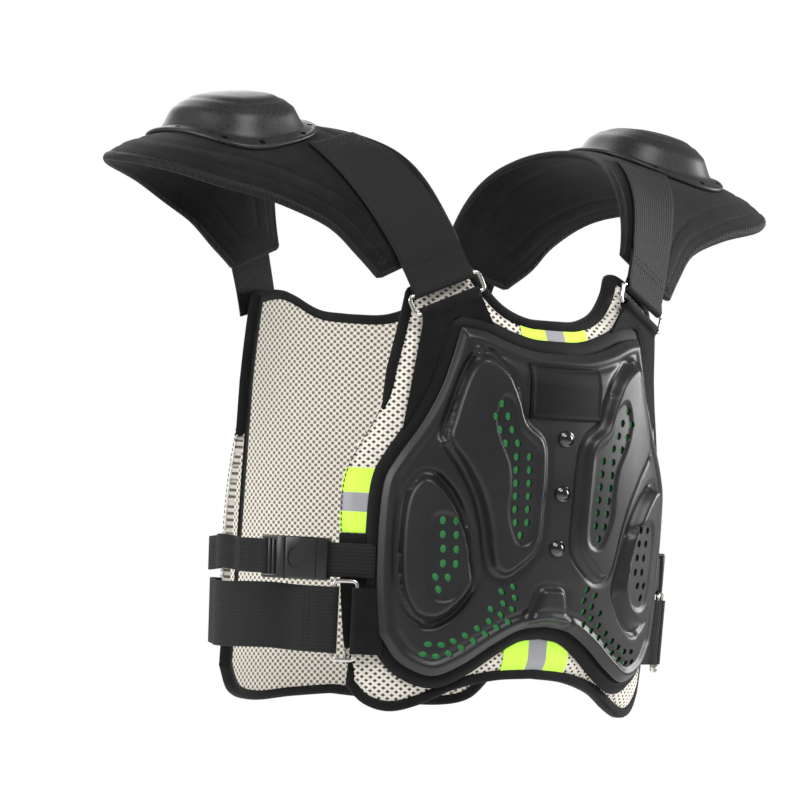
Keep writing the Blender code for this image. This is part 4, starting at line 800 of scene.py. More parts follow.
def crossed(tree, across, up, width, height):
    """Waves across and up, multiplied, which leave a chequer of rounded spots."""
    return add_node(tree, "Math", {0: ripple(tree, across, width), 1: ripple(tree, up, height)},
                    operation="MULTIPLY").outputs[0]


def speckle(tree, size, detail=3.0):
    """Noise in object space whose grains are about the given size in metres."""
    where = add_node(tree, "TexCoord").outputs["Object"]
    return add_node(tree, "TexNoise", {"Vector": where, "Scale": 1.0 / size, "Detail": detail}).outputs[0]


def tint(tree, shader, factor, low, high, start=0.3, stop=0.7):
    """Base colour that moves between two colours as the factor rises."""
    span = add_node(tree, "MapRange", {0: factor, "From Min": start, "From Max": stop})
    mix = add_node(tree, "Mix", {0: span.outputs[0], 6: low, 7: high}, data_type="RGBA")
    tree.links.new(mix.outputs[2], shader.inputs["Base Color"])


def shade(value, factor):
    return tuple(min(1.0, channel * factor) for channel in value[:3]) + (1.0,)


def moulded_shell(colours):
    """Injection moulded polypropylene: satin, with a fine eroded grain that softens its gloss."""
    made, tree, shader = new_material("moulded_polypropylene", colours.shell, 0.36, IOR=1.49,
                                      Specular_IOR_Level=0.34)
    cloud = speckle(tree, 45 * MM, 2.0)
    tint(tree, shader, cloud, shade(colours.shell, 0.86), shade(colours.shell, 1.14))
    add_node(tree, "MapRange", {0: cloud, "To Min": 0.30, "To Max": 0.42}, shader.inputs["Roughness"])
    add_node(tree, "Bump", {"Height": speckle(tree, 1.1 * MM, 2.0), "Strength": 0.10, "Distance": 0.25 * MM},
             shader.inputs["Normal"])
    return made


def cap_shell(colours):
    """The same moulding with rows of small dimples all over the domed cap, drawn only as dark spots of
    painted shade in the colour, without a bump.
    """
    made, tree, shader = new_material("dotted_polypropylene", shade(colours.shell, 0.75), 0.44, IOR=1.49,
                                      Specular_IOR_Level=0.42)
    axes = in_millimetres(tree, add_node(tree, "TexCoord").outputs["Object"])
    pairs = [crossed(tree, axes[k], axes[k - 1], DIMPLE_PITCH, DIMPLE_PITCH) for k in range(3)]
    dimple_shade = add_node(tree, "Math", {0: pairs[0], 1: pairs[1]}, operation="ADD")
    dimple_shade = add_node(tree, "Math", {0: dimple_shade.outputs[0], 1: pairs[2]}, operation="ADD")
    # Painted shade: the dimple spots are darkened in the colour, as the shade in real hollows would be; there
    # is no bump.
    tint(tree, shader, dimple_shade.outputs[0], shade(colours.shell, 0.90), shade(colours.shell, 0.30), 0.5, 1.3)
    return made


def moulded_foam(colours):
    """Closed cell foam pressed to a skin: matt, with soft pores."""
    made, tree, shader = new_material("pressed_foam", colours.foam, 0.60, Specular_IOR_Level=0.16)
    add_node(tree, "Bump", {"Height": speckle(tree, 1.6 * MM, 4.0), "Strength": 0.25, "Distance": 0.3 * MM},
             shader.inputs["Normal"])
    tint(tree, shader, speckle(tree, 20 * MM), shade(colours.foam, 0.8), shade(colours.foam, 1.3))
    return made


def knit_fabric(colours):
    """Warp knit over foam: matt, with rows of small loops."""
    made, tree, shader = new_material("warp_knit", colours.knit, 0.85, Specular_IOR_Level=0.14,
                                      Sheen_Weight=0.05, Sheen_Roughness=0.5)
    across, up, _ = cut_map(tree)
    loops = add_node(tree, "Math", {0: ripple(tree, up, 1.7), 1: 0.8, 2: ripple(tree, across, 2.4)},
                     operation="MULTIPLY_ADD")
    add_node(tree, "Bump", {"Height": loops.outputs[0], "Strength": 0.30, "Distance": 0.25 * MM},
             shader.inputs["Normal"])
    tint(tree, shader, speckle(tree, 14 * MM), shade(colours.knit, 0.75), shade(colours.knit, 1.35))
    return made


def woven_webbing(colours):
    """Woven polyester webbing: ribs along the band, crossed by a fine weft, with a dull sheen, painted shade
    in the weave's troughs and painted highlight on its ribs.
    """
    made, tree, shader = new_material("polyester_webbing", colours.webbing, 0.68, Specular_IOR_Level=0.20,
                                      Sheen_Weight=0.03, Sheen_Roughness=0.4)
    across, up, _ = cut_map(tree)
    ribs = ripple(tree, up, 2.6)
    bowed = add_node(tree, "Math", {0: ribs, 1: 0.45, 2: across}, operation="MULTIPLY_ADD").outputs[0]
    weave = add_node(tree, "Math", {0: ripple(tree, bowed, 1.9), 1: 0.7, 2: ribs},
                     operation="MULTIPLY_ADD").outputs[0]
    add_node(tree, "Bump", {"Height": weave, "Strength": 0.45, "Distance": 0.3 * MM}, shader.inputs["Normal"])
    # Painted shade and highlight: the colour follows the weave's height, darker in its troughs and lighter on
    # its ribs.
    tint(tree, shader, weave, shade(colours.webbing, 0.7), shade(colours.webbing, 1.45), -1.4, 1.4)
    return made


def mesh_thread(colours):
    """Bright spun polyester of the spacer mesh's outer face."""
    made, tree, shader = new_material("spacer_mesh_thread", colours.mesh, 0.80, Specular_IOR_Level=0.3,
                                      Sheen_Weight=0.1)
    add_node(tree, "Bump", {"Height": speckle(tree, 0.9 * MM), "Strength": 0.35, "Distance": 0.3 * MM},
             shader.inputs["Normal"])
    tint(tree, shader, speckle(tree, 12 * MM), shade(colours.mesh, 0.88), colours.mesh)
    return made


def mesh_ground(colours):
    """The pad behind the open mesh, and its inner face: the same pattern pressed flat."""
    made, tree, shader = new_material("spacer_mesh_ground", colours.mesh_ground, 0.9)
    sizes = bpy.context.scene.vest_sizes
    across, up, _ = cut_map(tree)
    holes = crossed(tree, across, up, sizes.net_width / MM, sizes.net_height / MM)
    tint(tree, shader, holes, shade(colours.mesh, 0.95), shade(colours.mesh_ground, 0.8), -0.1, 0.35)
    return made


def liner_mesh(colours):
    """Green air mesh, seen only through the vents, with a faint painted glow of its own colour that keeps it
    bright in the shaded holes.
    """
    # Painted light: the air mesh glows faintly with its own green, though it is no lamp, so that it stays
    # bright in the shaded vents.
    made, tree, shader = new_material("green_air_mesh", colours.liner, 0.7, Emission_Color=colours.liner,
                                      Emission_Strength=0.20)
    across, up, _ = cut_map(tree)
    cells = crossed(tree, across, up, 1.9, 1.6)
    tint(tree, shader, cells, colours.liner, shade(colours.liner, 0.35), -0.1, 0.7)
    return made


def striped_tape(colours, name, way, middle, half_band):
    """Fluorescent woven tape with a middle band of glass bead reflective film, in millimetres."""
    made, tree, shader = new_material(name, colours.hi_vis, 0.62)
    flat = cut_map(tree)
    off = add_node(tree, "Math", {0: flat[way], 1: middle}, operation="SUBTRACT")
    off = add_node(tree, "Math", {0: off.outputs[0]}, operation="ABSOLUTE")
    band = add_node(tree, "MapRange", {0: off.outputs[0], "From Min": half_band - TAPE_BAND_BLUR,
                                       "From Max": half_band + TAPE_BAND_BLUR}).outputs[0]
    tint(tree, shader, band, colours.reflective, colours.hi_vis, 0.0, 1.0)
    add_node(tree, "MapRange", {0: band, "To Min": 0.38, "To Max": 0.72}, shader.inputs["Roughness"])
    weave = crossed(tree, flat[0], flat[1], 1.6, 1.6)
    raised = add_node(tree, "Math", {0: weave, 1: 0.4}, operation="MULTIPLY")
    step = add_node(tree, "Math", {0: raised.outputs[0], 1: band}, operation="SUBTRACT")
    add_node(tree, "Bump", {"Height": step.outputs[0], "Strength": 0.35, "Distance": 0.25 * MM},
             shader.inputs["Normal"])
    return made


def buckle_plastic(colours):
    """Acetal: smooth and slightly waxy."""
    made, tree, shader = new_material("acetal", colours.plastic, 0.30)
    add_node(tree, "Bump", {"Height": speckle(tree, 1.2 * MM), "Strength": 0.06, "Distance": 0.2 * MM},
             shader.inputs["Normal"])
    tint(tree, shader, speckle(tree, 8 * MM), shade(colours.plastic, 0.85), shade(colours.plastic, 1.2))
    return made


def snap_plastic(colours):
    """Polished acetal of the snap heads."""
    made, tree, shader = new_material("polished_acetal", shade(colours.plastic, 0.5), 0.10, Coat_Weight=0.4)
    add_node(tree, "Bump", {"Height": speckle(tree, 6 * MM), "Strength": 0.03, "Distance": 0.1 * MM},
             shader.inputs["Normal"])
    return made


def nickel_plate(colours):
    """Nickel plated steel wire, drawn and tumbled: bright with faint streaks."""
    made, tree, shader = new_material("nickel_plated_steel", colours.nickel, 0.20, Metallic=1.0)
    add_node(tree, "MapRange", {0: speckle(tree, 4 * MM), "To Min": 0.14, "To Max": 0.32},
             shader.inputs["Roughness"])
    return made


def badge_rubber(colours):
    """Pressed rubber, dull, with a fine leather like grain."""
    made, tree, shader = new_material("pressed_rubber", colours.badge, 0.62, Specular_IOR_Level=0.16)
    where = add_node(tree, "TexCoord").outputs["Object"]
    cells = add_node(tree, "TexVoronoi", {"Vector": where, "Scale": 1 / (1.7 * MM)}).outputs["Distance"]
    add_node(tree, "Bump", {"Height": cells, "Strength": 0.22, "Distance": 0.3 * MM}, shader.inputs["Normal"])
    tint(tree, shader, speckle(tree, 10 * MM), shade(colours.badge, 0.85), shade(colours.badge, 1.2))
    return made


def sewing_thread(colours):
    """Bonded polyester thread, a little glossier than the cloth."""
    made, tree, shader = new_material("thread_black", shade(colours.webbing, 1.1), 0.6,
                                      Specular_IOR_Level=0.25)
    add_node(tree, "Bump", {"Height": speckle(tree, 0.6 * MM), "Strength": 0.2, "Distance": 0.1 * MM},
             shader.inputs["Normal"])
    return made


DIMPLE_PITCH = 5.8
TAPE_BAND_BLUR = 0.3
TAPE_MIDDLE = -279 * MM
MATERIALS = {}


def finish_of(name):
    """The named finish, made once."""
    makers = {
        "shell": moulded_shell, "cap": cap_shell, "foam": moulded_foam, "knit": knit_fabric,
        "webbing": woven_webbing, "thread": mesh_thread, "ground": mesh_ground, "liner": liner_mesh,
        "tape_across": lambda c: striped_tape(c, "fluorescent_tape_across", 0, 0.0, 8.0),
        "tape_up": lambda c: striped_tape(c, "fluorescent_tape_up", 1, TAPE_MIDDLE / MM, 7.0),
        "plastic": buckle_plastic, "snap": snap_plastic, "nickel": nickel_plate, "badge": badge_rubber,
        "stitch": sewing_thread,
    }
    if name not in MATERIALS:
        MATERIALS[name] = makers[name](bpy.context.scene.vest_colours)
    return MATERIALS[name]


# Heights of the pads and plates over the torso


def pad_height(depth):
    """Thickness of a pad at a distance in from its bound edge."""
    return PAD_EDGE_THICKNESS + (PAD_THICKNESS - PAD_EDGE_THICKNESS) * smooth((depth + 1 * MM) / (11 * MM))


def plate_relief(flat):
    """Lift of the chest plate's outer face: rolled rim, crown, raised panels, strips and grooves."""
    sizes = bpy.context.scene.vest_sizes
    half_width, height, top = CHEST_PLATE_SIZE
    outline = outline_of(CHEST_PLATE, CHEST_PLATE_SIZE, 96, 64)
    edge = depth_inside(flat, outline)
    across, up = np.abs(flat[:, 0]) / half_width, (flat[:, 1] - top + height) / height
    crown = PLATE_CROWN * np.maximum(0.0, 1 - across ** 2) * smooth(up / 0.65) * smooth(edge / (24 * MM))
    rim = PLATE_RIM_RISE * smooth((edge + 1 * MM) / (sizes.rim_width * 0.85))
    lift = PLATE_SEAT + PLATE_WALL + rim + crown
    lift += 1.0 * MM * np.exp(-((edge - 6.5 * MM) / (2.2 * MM)) ** 2)
    lift -= 1.2 * MM * np.exp(-((edge - 11.5 * MM) / (1.9 * MM)) ** 2)
    half = np.column_stack([np.abs(flat[:, 0]), flat[:, 1]])
    pectoral, strip, pod, pod_strip = (depth_inside(half, round_loop(np.array(rows) * MM, 120))
                                       for rows in (PECTORAL, PECTORAL_STRIP, POD, POD_STRIP))
    lift += sizes.panel_rise * smooth((pectoral + 0.3 * MM) / sizes.panel_slope)
    lift += sizes.panel_rise * smooth((pod + 0.3 * MM) / sizes.panel_slope)
    lift -= 1.5 * MM * smooth(strip / (1.7 * MM) + 0.5)
    lift -= 1.3 * MM * smooth(pod_strip / (1.7 * MM) + 0.5)
    outer = smooth((half[:, 0] - 44 * MM) / (14 * MM)) * smooth((half[:, 1] + 336 * MM) / (30 * MM))
    lift -= sizes.groove_depth * (0.45 + 0.75 * outer) * np.exp(-((pectoral + 2.6 * MM) / (2.0 * MM)) ** 2)
    lift -= 0.7 * sizes.groove_depth * np.exp(-((pod + 2.4 * MM) / (1.9 * MM)) ** 2)
    lift -= np.where(pod > 0, 0.30 * np.maximum(0.0, half[:, 0] - 94 * MM), 0.0)
    lift -= np.where(pectoral > 0, 0.10 * np.maximum(0.0, half[:, 0] - 58 * MM), 0.0)
    for slot in SLOTS:
        away = line_distance(half, curve_through(np.array(slot) * MM, 24), False)
        lift -= 2.2 * MM * smooth(1.6 - away / (1.9 * MM))
    for bridge in BRIDGES:
        away = np.linalg.norm(half - np.array(bridge) * MM, axis=1)
        lift += 3.0 * MM * np.exp(-(away / (2.6 * MM)) ** 2)
    block = depth_inside(half, round_loop(np.array(SPINE_BLOCK) * MM, 80))
    lift += 4.2 * MM * smooth((block + 0.3 * MM) / (3.0 * MM))
    lift -= 1.2 * MM * np.exp(-((block + 2.2 * MM) / (1.8 * MM)) ** 2)
    return lift


def back_relief(flat):
    """Lift of the plain back plate's outer face: rim, crown and a shallow spine channel."""
    outline = outline_of(BACK_PLATE, BACK_PLATE_SIZE, 96, 64)
    edge = depth_inside(flat, outline)
    lift = LAYER + PLATE_WALL + PLATE_CROWN * smooth((edge + 1 * MM) / (11 * MM))
    lift -= 1.0 * MM * np.exp(-((edge - 15 * MM) / (2.0 * MM)) ** 2)
    channel = depth_inside(flat, round_loop(np.array(SPINE_CHANNEL) * MM, 90))
    lift -= 1.1 * MM * np.exp(-((channel + 2.4 * MM) / (1.8 * MM)) ** 2)
    return lift + 2.4 * MM * smooth((channel + 0.3 * MM) / (3.6 * MM))


# Operators, one for each piece or group of like pieces


class PieceOperator(bpy.types.Operator):
    """Shared settings of the operators below."""

    bl_options = {"REGISTER", "UNDO"}


def diamond_net(name, loop, hidden, place, lift):
    """Open mesh of diamond cells inside a loop, left out where the hidden outline covers it."""
    sizes = bpy.context.scene.vest_sizes
    low, high = loop.min(axis=0), loop.max(axis=0)
    cell = np.array([sizes.net_width, sizes.net_height])
    middle = np.round((low + high) / 2 / cell) * cell
    cells = 2 * int(((high - low) / cell).sum() / 2) + 3
    bpy.ops.object.select_all(action="DESELECT")
    bpy.ops.mesh.primitive_grid_add(x_subdivisions=cells, y_subdivisions=cells, size=cells)
    piece = fresh(name)
    points = read_points(piece)
    x = middle[0] + (points[:, 0] - points[:, 1]) * cell[0] / 2
    y = middle[1] + (points[:, 0] + points[:, 1]) * cell[1] / 2
    write_points(piece, np.column_stack([x, y, np.full(len(x), 1.0 * MM)]))
    centres = np.empty(len(piece.data.polygons) * 3, np.float32)
    piece.data.polygons.foreach_get("center", centres)
    centres = centres.reshape(-1, 3)[:, :2].astype(float)
    drop = (depth_inside(centres, loop) < 0.5 * MM) | (depth_inside(centres, hidden) > 7 * MM)
    bpy.context.tool_settings.mesh_select_mode = (False, False, True)
    piece.data.polygons.foreach_set("select", drop)
    only(piece)
    bpy.ops.object.mode_set(mode="EDIT")
    bpy.ops.mesh.delete(type="FACE")
    bpy.ops.mesh.select_all(action="SELECT")
    bpy.ops.mesh.inset(thickness=sizes.net_thread, depth=0.0, use_individual=True)
    bpy.ops.mesh.delete(type="FACE")
    bpy.ops.object.mode_set(mode="OBJECT")
    modify(piece, "SOLIDIFY", thickness=0.9 * MM, offset=-1.0)
    keep_flat_map(piece)
    points = read_points(piece)
    points[:, 2] += lift(points[:, :2])
    write_points(piece, points)
    bend(piece, place)
    return piece


def make_pad(node, table, size, place, cover):
    """A bound pad: its padded body, the open mesh over it and the binding with its stitches."""
    sides = half_sides(table, size, 88, 88)
    inner = grown(sides, -BINDING_WIDTH)
    inner_loop, outline = loop_of(inner), loop_of(sides)

    def top(flat):
        depth = depth_inside(flat, inner_loop)
        soft = 0.35 * MM * np.sin(flat[:, 0] * 61 + 1.3) * np.sin(flat[:, 1] * 47)
        return pad_height(depth) - 1.1 * MM + soft * smooth(depth / (10 * MM))

    body = flat_panel(node + "_body", 84, 84, fill_sides(inner))
    set_lifts(body, top, lambda flat: np.full(len(flat), 0.2 * MM))
    keep_flat_map(body)
    bend(body, place)
    hand_over(body, finish_of("ground"), "spacer_mesh", [node])
    net = diamond_net(node + "_net", inner_loop, cover, place, top)
    hand_over(net, finish_of("thread"), "spacer_mesh", outward=False)
    loop = even_points(np.vstack([outline, outline[:1]]), 321)[:-1]
    ways = loop_normals(loop)

    def section(k, angle):
        c, s = math.cos(angle), math.sin(angle)
        out = -3.6 * MM + 4.1 * MM * math.copysign(abs(c) ** 0.6, c)
        lift = 3.7 * MM + 4.6 * MM * math.copysign(abs(s) ** 0.7, s)
        spot = loop[k] + ways[k] * out
        return spot[0], spot[1], lift

    tape = swept_ring(node + "_binding_tape", loop, section, 14)
    keep_flat_map(tape)
    bend(tape, place)
    hand_over(tape, finish_of("knit"), "black_fabric", [node + "_binding"])
    row = offset_line(loop, 5.6 * MM, 7.5 * MM)
    stitches(node + "_binding_stitches", [row], place, finish_of("stitch"), "black_fabric")


class VEST_OT_pads(PieceOperator):
    """Makes the chest and back pads of spacer mesh, with their bindings"""

    bl_idname = "vest.pads"
    bl_label = "Pads"

    def execute(self, context):
        carrier = loop_of(grown(half_sides(CHEST_PLATE, CHEST_PLATE_SIZE, 64, 64), CARRIER_MARGIN))
        make_pad("chest_pad", CHEST_PAD, CHEST_PAD_SIZE, on_torso, carrier)
        plate = outline_of(BACK_PLATE, BACK_PLATE_SIZE, 64, 64)
        make_pad("back_pad", BACK_PAD, BACK_PAD_SIZE, on_back, plate)
        return {"FINISHED"}


class VEST_OT_carrier(PieceOperator):
    """Makes the foam rim under the chest plate"""

    bl_idname = "vest.carrier"
    bl_label = "Foam Rim"

    def execute(self, context):
        sides = grown(half_sides(CHEST_PLATE, CHEST_PLATE_SIZE, 96, 96), CARRIER_MARGIN + 2.2 * MM)
        rim = flat_panel("foam_rim", 120, 120, fill_sides(sides))
        loop = loop_of(sides)

        def top(flat):
            edge = np.clip(depth_inside(flat, loop) / (6 * MM), 0.0, 1.0)
            return LAYER + 0.6 * MM + 3.4 * MM * np.sqrt(1 - (1 - edge) ** 2)

        set_lifts(rim, top, lambda flat: np.full(len(flat), LAYER - 0.8 * MM))
        keep_flat_map(rim)
        bend(rim, on_torso)
        hand_over(rim, finish_of("foam"), "black_foam", ["plate_carrier"])
        return {"FINISHED"}


class VEST_OT_chest_plate(PieceOperator):
    """Makes the moulded chest plate with its relief and vents, and the green mesh behind it"""

    bl_idname = "vest.chest_plate"
    bl_label = "Chest Plate"

    def execute(self, context):
        sizes = context.scene.vest_sizes
        sides = half_sides(CHEST_PLATE, CHEST_PLATE_SIZE, 196, 206)
        plate = flat_panel("chest_plate_moulding", 196, 206, fill_sides(sides))
        set_lifts(plate, plate_relief, lambda flat: plate_relief(flat) - SHELL_WALL)
        modify(plate, "SMOOTH", factor=0.5, iterations=2)
        modify(plate, "BEVEL", width=0.7 * MM, segments=2, limit_method="ANGLE", angle_limit=EDGE_ANGLE)
        posts = []
        for girth, height, lean in VENTS:
            for side in (-1, 1):
                posts.append(add_post((side * girth * MM, height * MM), sizes.vent_length / 2,
                                      sizes.vent_width / 2, side * math.radians(lean), 8 * MM, 50 * MM))
        cut(plate, posts)
        keep_flat_map(plate)
        bend(plate, on_torso)
        hand_over(plate, finish_of("shell"), "grey_shell", ["chest_plate"], sharp=66)
        liner = flat_panel("vent_mesh", 90, 90, fill_sides(grown(sides, -7 * MM)))

        def under(flat):
            half = np.column_stack([np.abs(flat[:, 0]), flat[:, 1]])
            walls = [depth_inside(half, round_loop(np.array(rows) * MM, 90))
                     for rows in (PECTORAL, POD, SPINE_BLOCK)]
            walls += [line_distance(half, np.array(slot) * MM, False) for slot in SLOTS]
            close = np.max([np.exp(-(wall / (4.5 * MM)) ** 2) for wall in walls], axis=0)
            return plate_relief(flat) - 4.4 * MM - 3.4 * MM * close

        set_lifts(liner, under, lambda flat: under(flat) - 0.8 * MM)
        keep_flat_map(liner)
        bend(liner, on_torso)
        hand_over(liner, finish_of("liner"), "green_liner", ["vent_liner"])
        return {"FINISHED"}


class VEST_OT_badge(PieceOperator):
    """Makes the bare rubber badge and the three snap heads on the chest plate"""

    bl_idname = "vest.badge"
    bl_label = "Badge and Snaps"

    def execute(self, context):
        width, height = BADGE_SIZE
        centre = CHEST_PLATE_SIZE[2] - 0.173 * CHEST_PLATE_SIZE[1]
        badge = flat_panel("rubber_badge", 56, 40,
                           fill_box((-width / 2, centre - height / 2), (width / 2, centre + height / 2)))

        def top(flat):
            edge = np.minimum(width / 2 - np.abs(flat[:, 0]), height / 2 - np.abs(flat[:, 1] - centre))
            lip = 0.6 * MM * np.exp(-((edge - 1.6 * MM) / (0.9 * MM)) ** 2)
            return plate_relief(flat) + 1.3 * MM + lip

        set_lifts(badge, top, lambda flat: plate_relief(flat) - 0.6 * MM)
        modify(badge, "BEVEL", width=0.5 * MM, segments=2, limit_method="ANGLE", angle_limit=CLOTH_EDGE_ANGLE)
        keep_flat_map(badge)
        bend(badge, on_torso)
        hand_over(badge, finish_of("badge"), "rubber_badge", ["chest_badge"])
        for k, name in enumerate(("upper", "middle", "lower")):
            spot = CHEST_PLATE_SIZE[2] - 0.305 * CHEST_PLATE_SIZE[1] - k * SNAP_PITCH
            seat = float(plate_relief(np.array([[0.0, spot]]))[0])
            self.snap("snap_" + name, "chest_snap_" + name, spot, seat)
        return {"FINISHED"}

    def snap(self, name, node, height, seat):
        """A domed head on a thin flange."""
        bpy.ops.object.select_all(action="DESELECT")
        bpy.ops.mesh.primitive_uv_sphere_add(segments=40, ring_count=20, radius=1.0)
        head = fresh(name)
        points = read_points(head)
        radius = np.hypot(points[:, 0], points[:, 1])
        rise = SNAP_RISE * np.maximum(points[:, 2], 0.0) ** 0.8 + 0.4 * MM * np.minimum(points[:, 2], 0.0)
        wide = SNAP_RADIUS * (1 + 0.30 * np.exp(-((radius - 1) / 0.03) ** 2))
        flat = np.column_stack([points[:, 0] * wide, height + points[:, 1] * wide, seat + 0.3 * MM + rise])
        write_points(head, flat)
        bend(head, on_torso)
        hand_over(head, finish_of("snap"), "black_plastic", [node], sharp=30)


class VEST_OT_tapes(PieceOperator):
    """Makes the four reflective tapes"""

    bl_idname = "vest.tapes"
    bl_label = "Reflective Tapes"

    def execute(self, context):
        pad = loop_of(grown(half_sides(CHEST_PAD, CHEST_PAD_SIZE, 88, 88), -BINDING_WIDTH))
        carrier = loop_of(grown(half_sides(CHEST_PLATE, CHEST_PLATE_SIZE, 96, 96), CARRIER_MARGIN))

        def lay(flat):
            return pad_height(depth_inside(flat, pad)) + 0.5 * MM

        for name, pick, way in (("neck", max, 1), ("hem", min, -1)):
            us = np.linspace(-TAPE_WIDTH / 2, TAPE_WIDTH / 2, 29)
            near = np.array([(u, edge_at(carrier, u, 0, pick) - way * 1.5 * MM) for u in us])
            far = np.array([(u, edge_at(pad, u, 0, pick) + way * 0.5 * MM) for u in us])
            low, high = (near, far) if way > 0 else (far, near)
            sides = {"bottom": low, "top": high, "left": np.linspace(low[0], high[0], 9),
                     "right": np.linspace(low[-1], high[-1], 9)}
            self.tape("reflective_tape_" + name, sides, lay, "tape_across", "tape_" + name)
        low_z = -(BELT_DROP + BUCKLE_DROP) / 2 + 83 * MM / 2 + 0.5 * MM
        heights = np.linspace(low_z, low_z + 0.84 * TAPE_WIDTH, 25)
        for side_name, side in SIDES:
            near = np.array([(side * (edge_at(carrier, z, 1, max) - 1.5 * MM), z) for z in heights])
            far = np.array([(side * (edge_at(pad, z, 1, max) + 0.5 * MM), z) for z in heights])
            sides = {"left": near, "right": far, "bottom": np.linspace(near[0], far[0], 9),
                     "top": np.linspace(near[-1], far[-1], 9)}
            self.tape("reflective_tape_" + side_name, sides, lay, "tape_up", "tape_" + side_name)
        return {"FINISHED"}

    def tape(self, name, sides, lay, finish, node):
        tape = flat_panel(name, 30, 26, fill_sides(sides))
        set_lifts(tape, lambda flat: lay(flat) + 0.4 * MM, lambda flat: lay(flat) - 0.8 * MM)
        keep_flat_map(tape)
        bend(tape, on_torso)
        hand_over(tape, finish_of(finish), "hi_vis_tape", [node])


def softened(node, name, levels=2, sharp=35, merge=0.02 * MM):
    """A finer copy of a CAD node: merged, turned to quads, creased at its edges and subdivided."""
    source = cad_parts[node]
    piece = source.copy()
    piece.data = source.data.copy()
    piece.name, piece.data.name = name, name
    for key in list(piece.keys()):
        if key.startswith("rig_"):
            del piece[key]
    piece.parent = None
    bpy.context.scene.collection.objects.link(piece)
    shell = bmesh.new()
    shell.from_mesh(piece.data)
    bmesh.ops.remove_doubles(shell, verts=shell.verts, dist=merge)
    bmesh.ops.join_triangles(shell, faces=shell.faces, angle_face_threshold=math.radians(25),
                             angle_shape_threshold=math.radians(70))
    crease = shell.edges.layers.float.get("crease_edge") or shell.edges.layers.float.new("crease_edge")
    for edge in shell.edges:
        if len(edge.link_faces) == 2 and edge.calc_face_angle(0.0) > math.radians(sharp):
            edge[crease] = 0.85
    shell.to_mesh(piece.data)
    shell.free()
    modify(piece, "SUBSURF", levels=levels, render_levels=levels)
    return piece


def map_from_torso(piece):
    """Gives a bent piece the UV map it would have had when flat: girth and height."""
    points = read_points(piece)
    angle = np.arctan2(points[:, 0] / TORSO_HALF_WIDTH, -points[:, 1] / TORSO_FRONT_DEPTH)
    girth = np.sign(angle) * np.interp(np.abs(angle), *FRONT_GIRTH)
    store_map(piece, np.column_stack([girth, points[:, 2]]))


class VEST_OT_tabs(PieceOperator):
    """Makes the chest tabs, the side panels and the waist tabs"""

    bl_idname = "vest.tabs"
    bl_label = "Tabs and Side Panels"

    def execute(self, context):
        for side_name, side in SIDES:
            for node, slot in (("chest_tab_", "black_fabric"), ("side_panel_", "black_fabric"),
                               ("buckle_tab_", "black_webbing")):
                piece = softened(node + side_name, node + side_name + "_cloth", 2)
                map_from_torso(piece)
                finish = finish_of("webbing" if slot == "black_webbing" else "knit")
                hand_over(piece, finish, slot, [node + side_name])
        return {"FINISHED"}


def belt_lift(girth, front_lift, back_lift, front_edge):
    """Lift of a belt's middle: high on the pads, low on the flank between them."""
    back_edge = HALF_GIRTH - BACK_PAD_SIZE[0]
    slope = BELT_SLOPE
    low = FLANK_LIFT + STRAP_THICKNESS / 2
    off_front = smooth((girth - front_edge) / slope)
    on_pad = smooth((girth - (back_edge - slope - 4 * MM)) / slope)
    return front_lift + (low - front_lift) * off_front + (back_lift - low) * on_pad


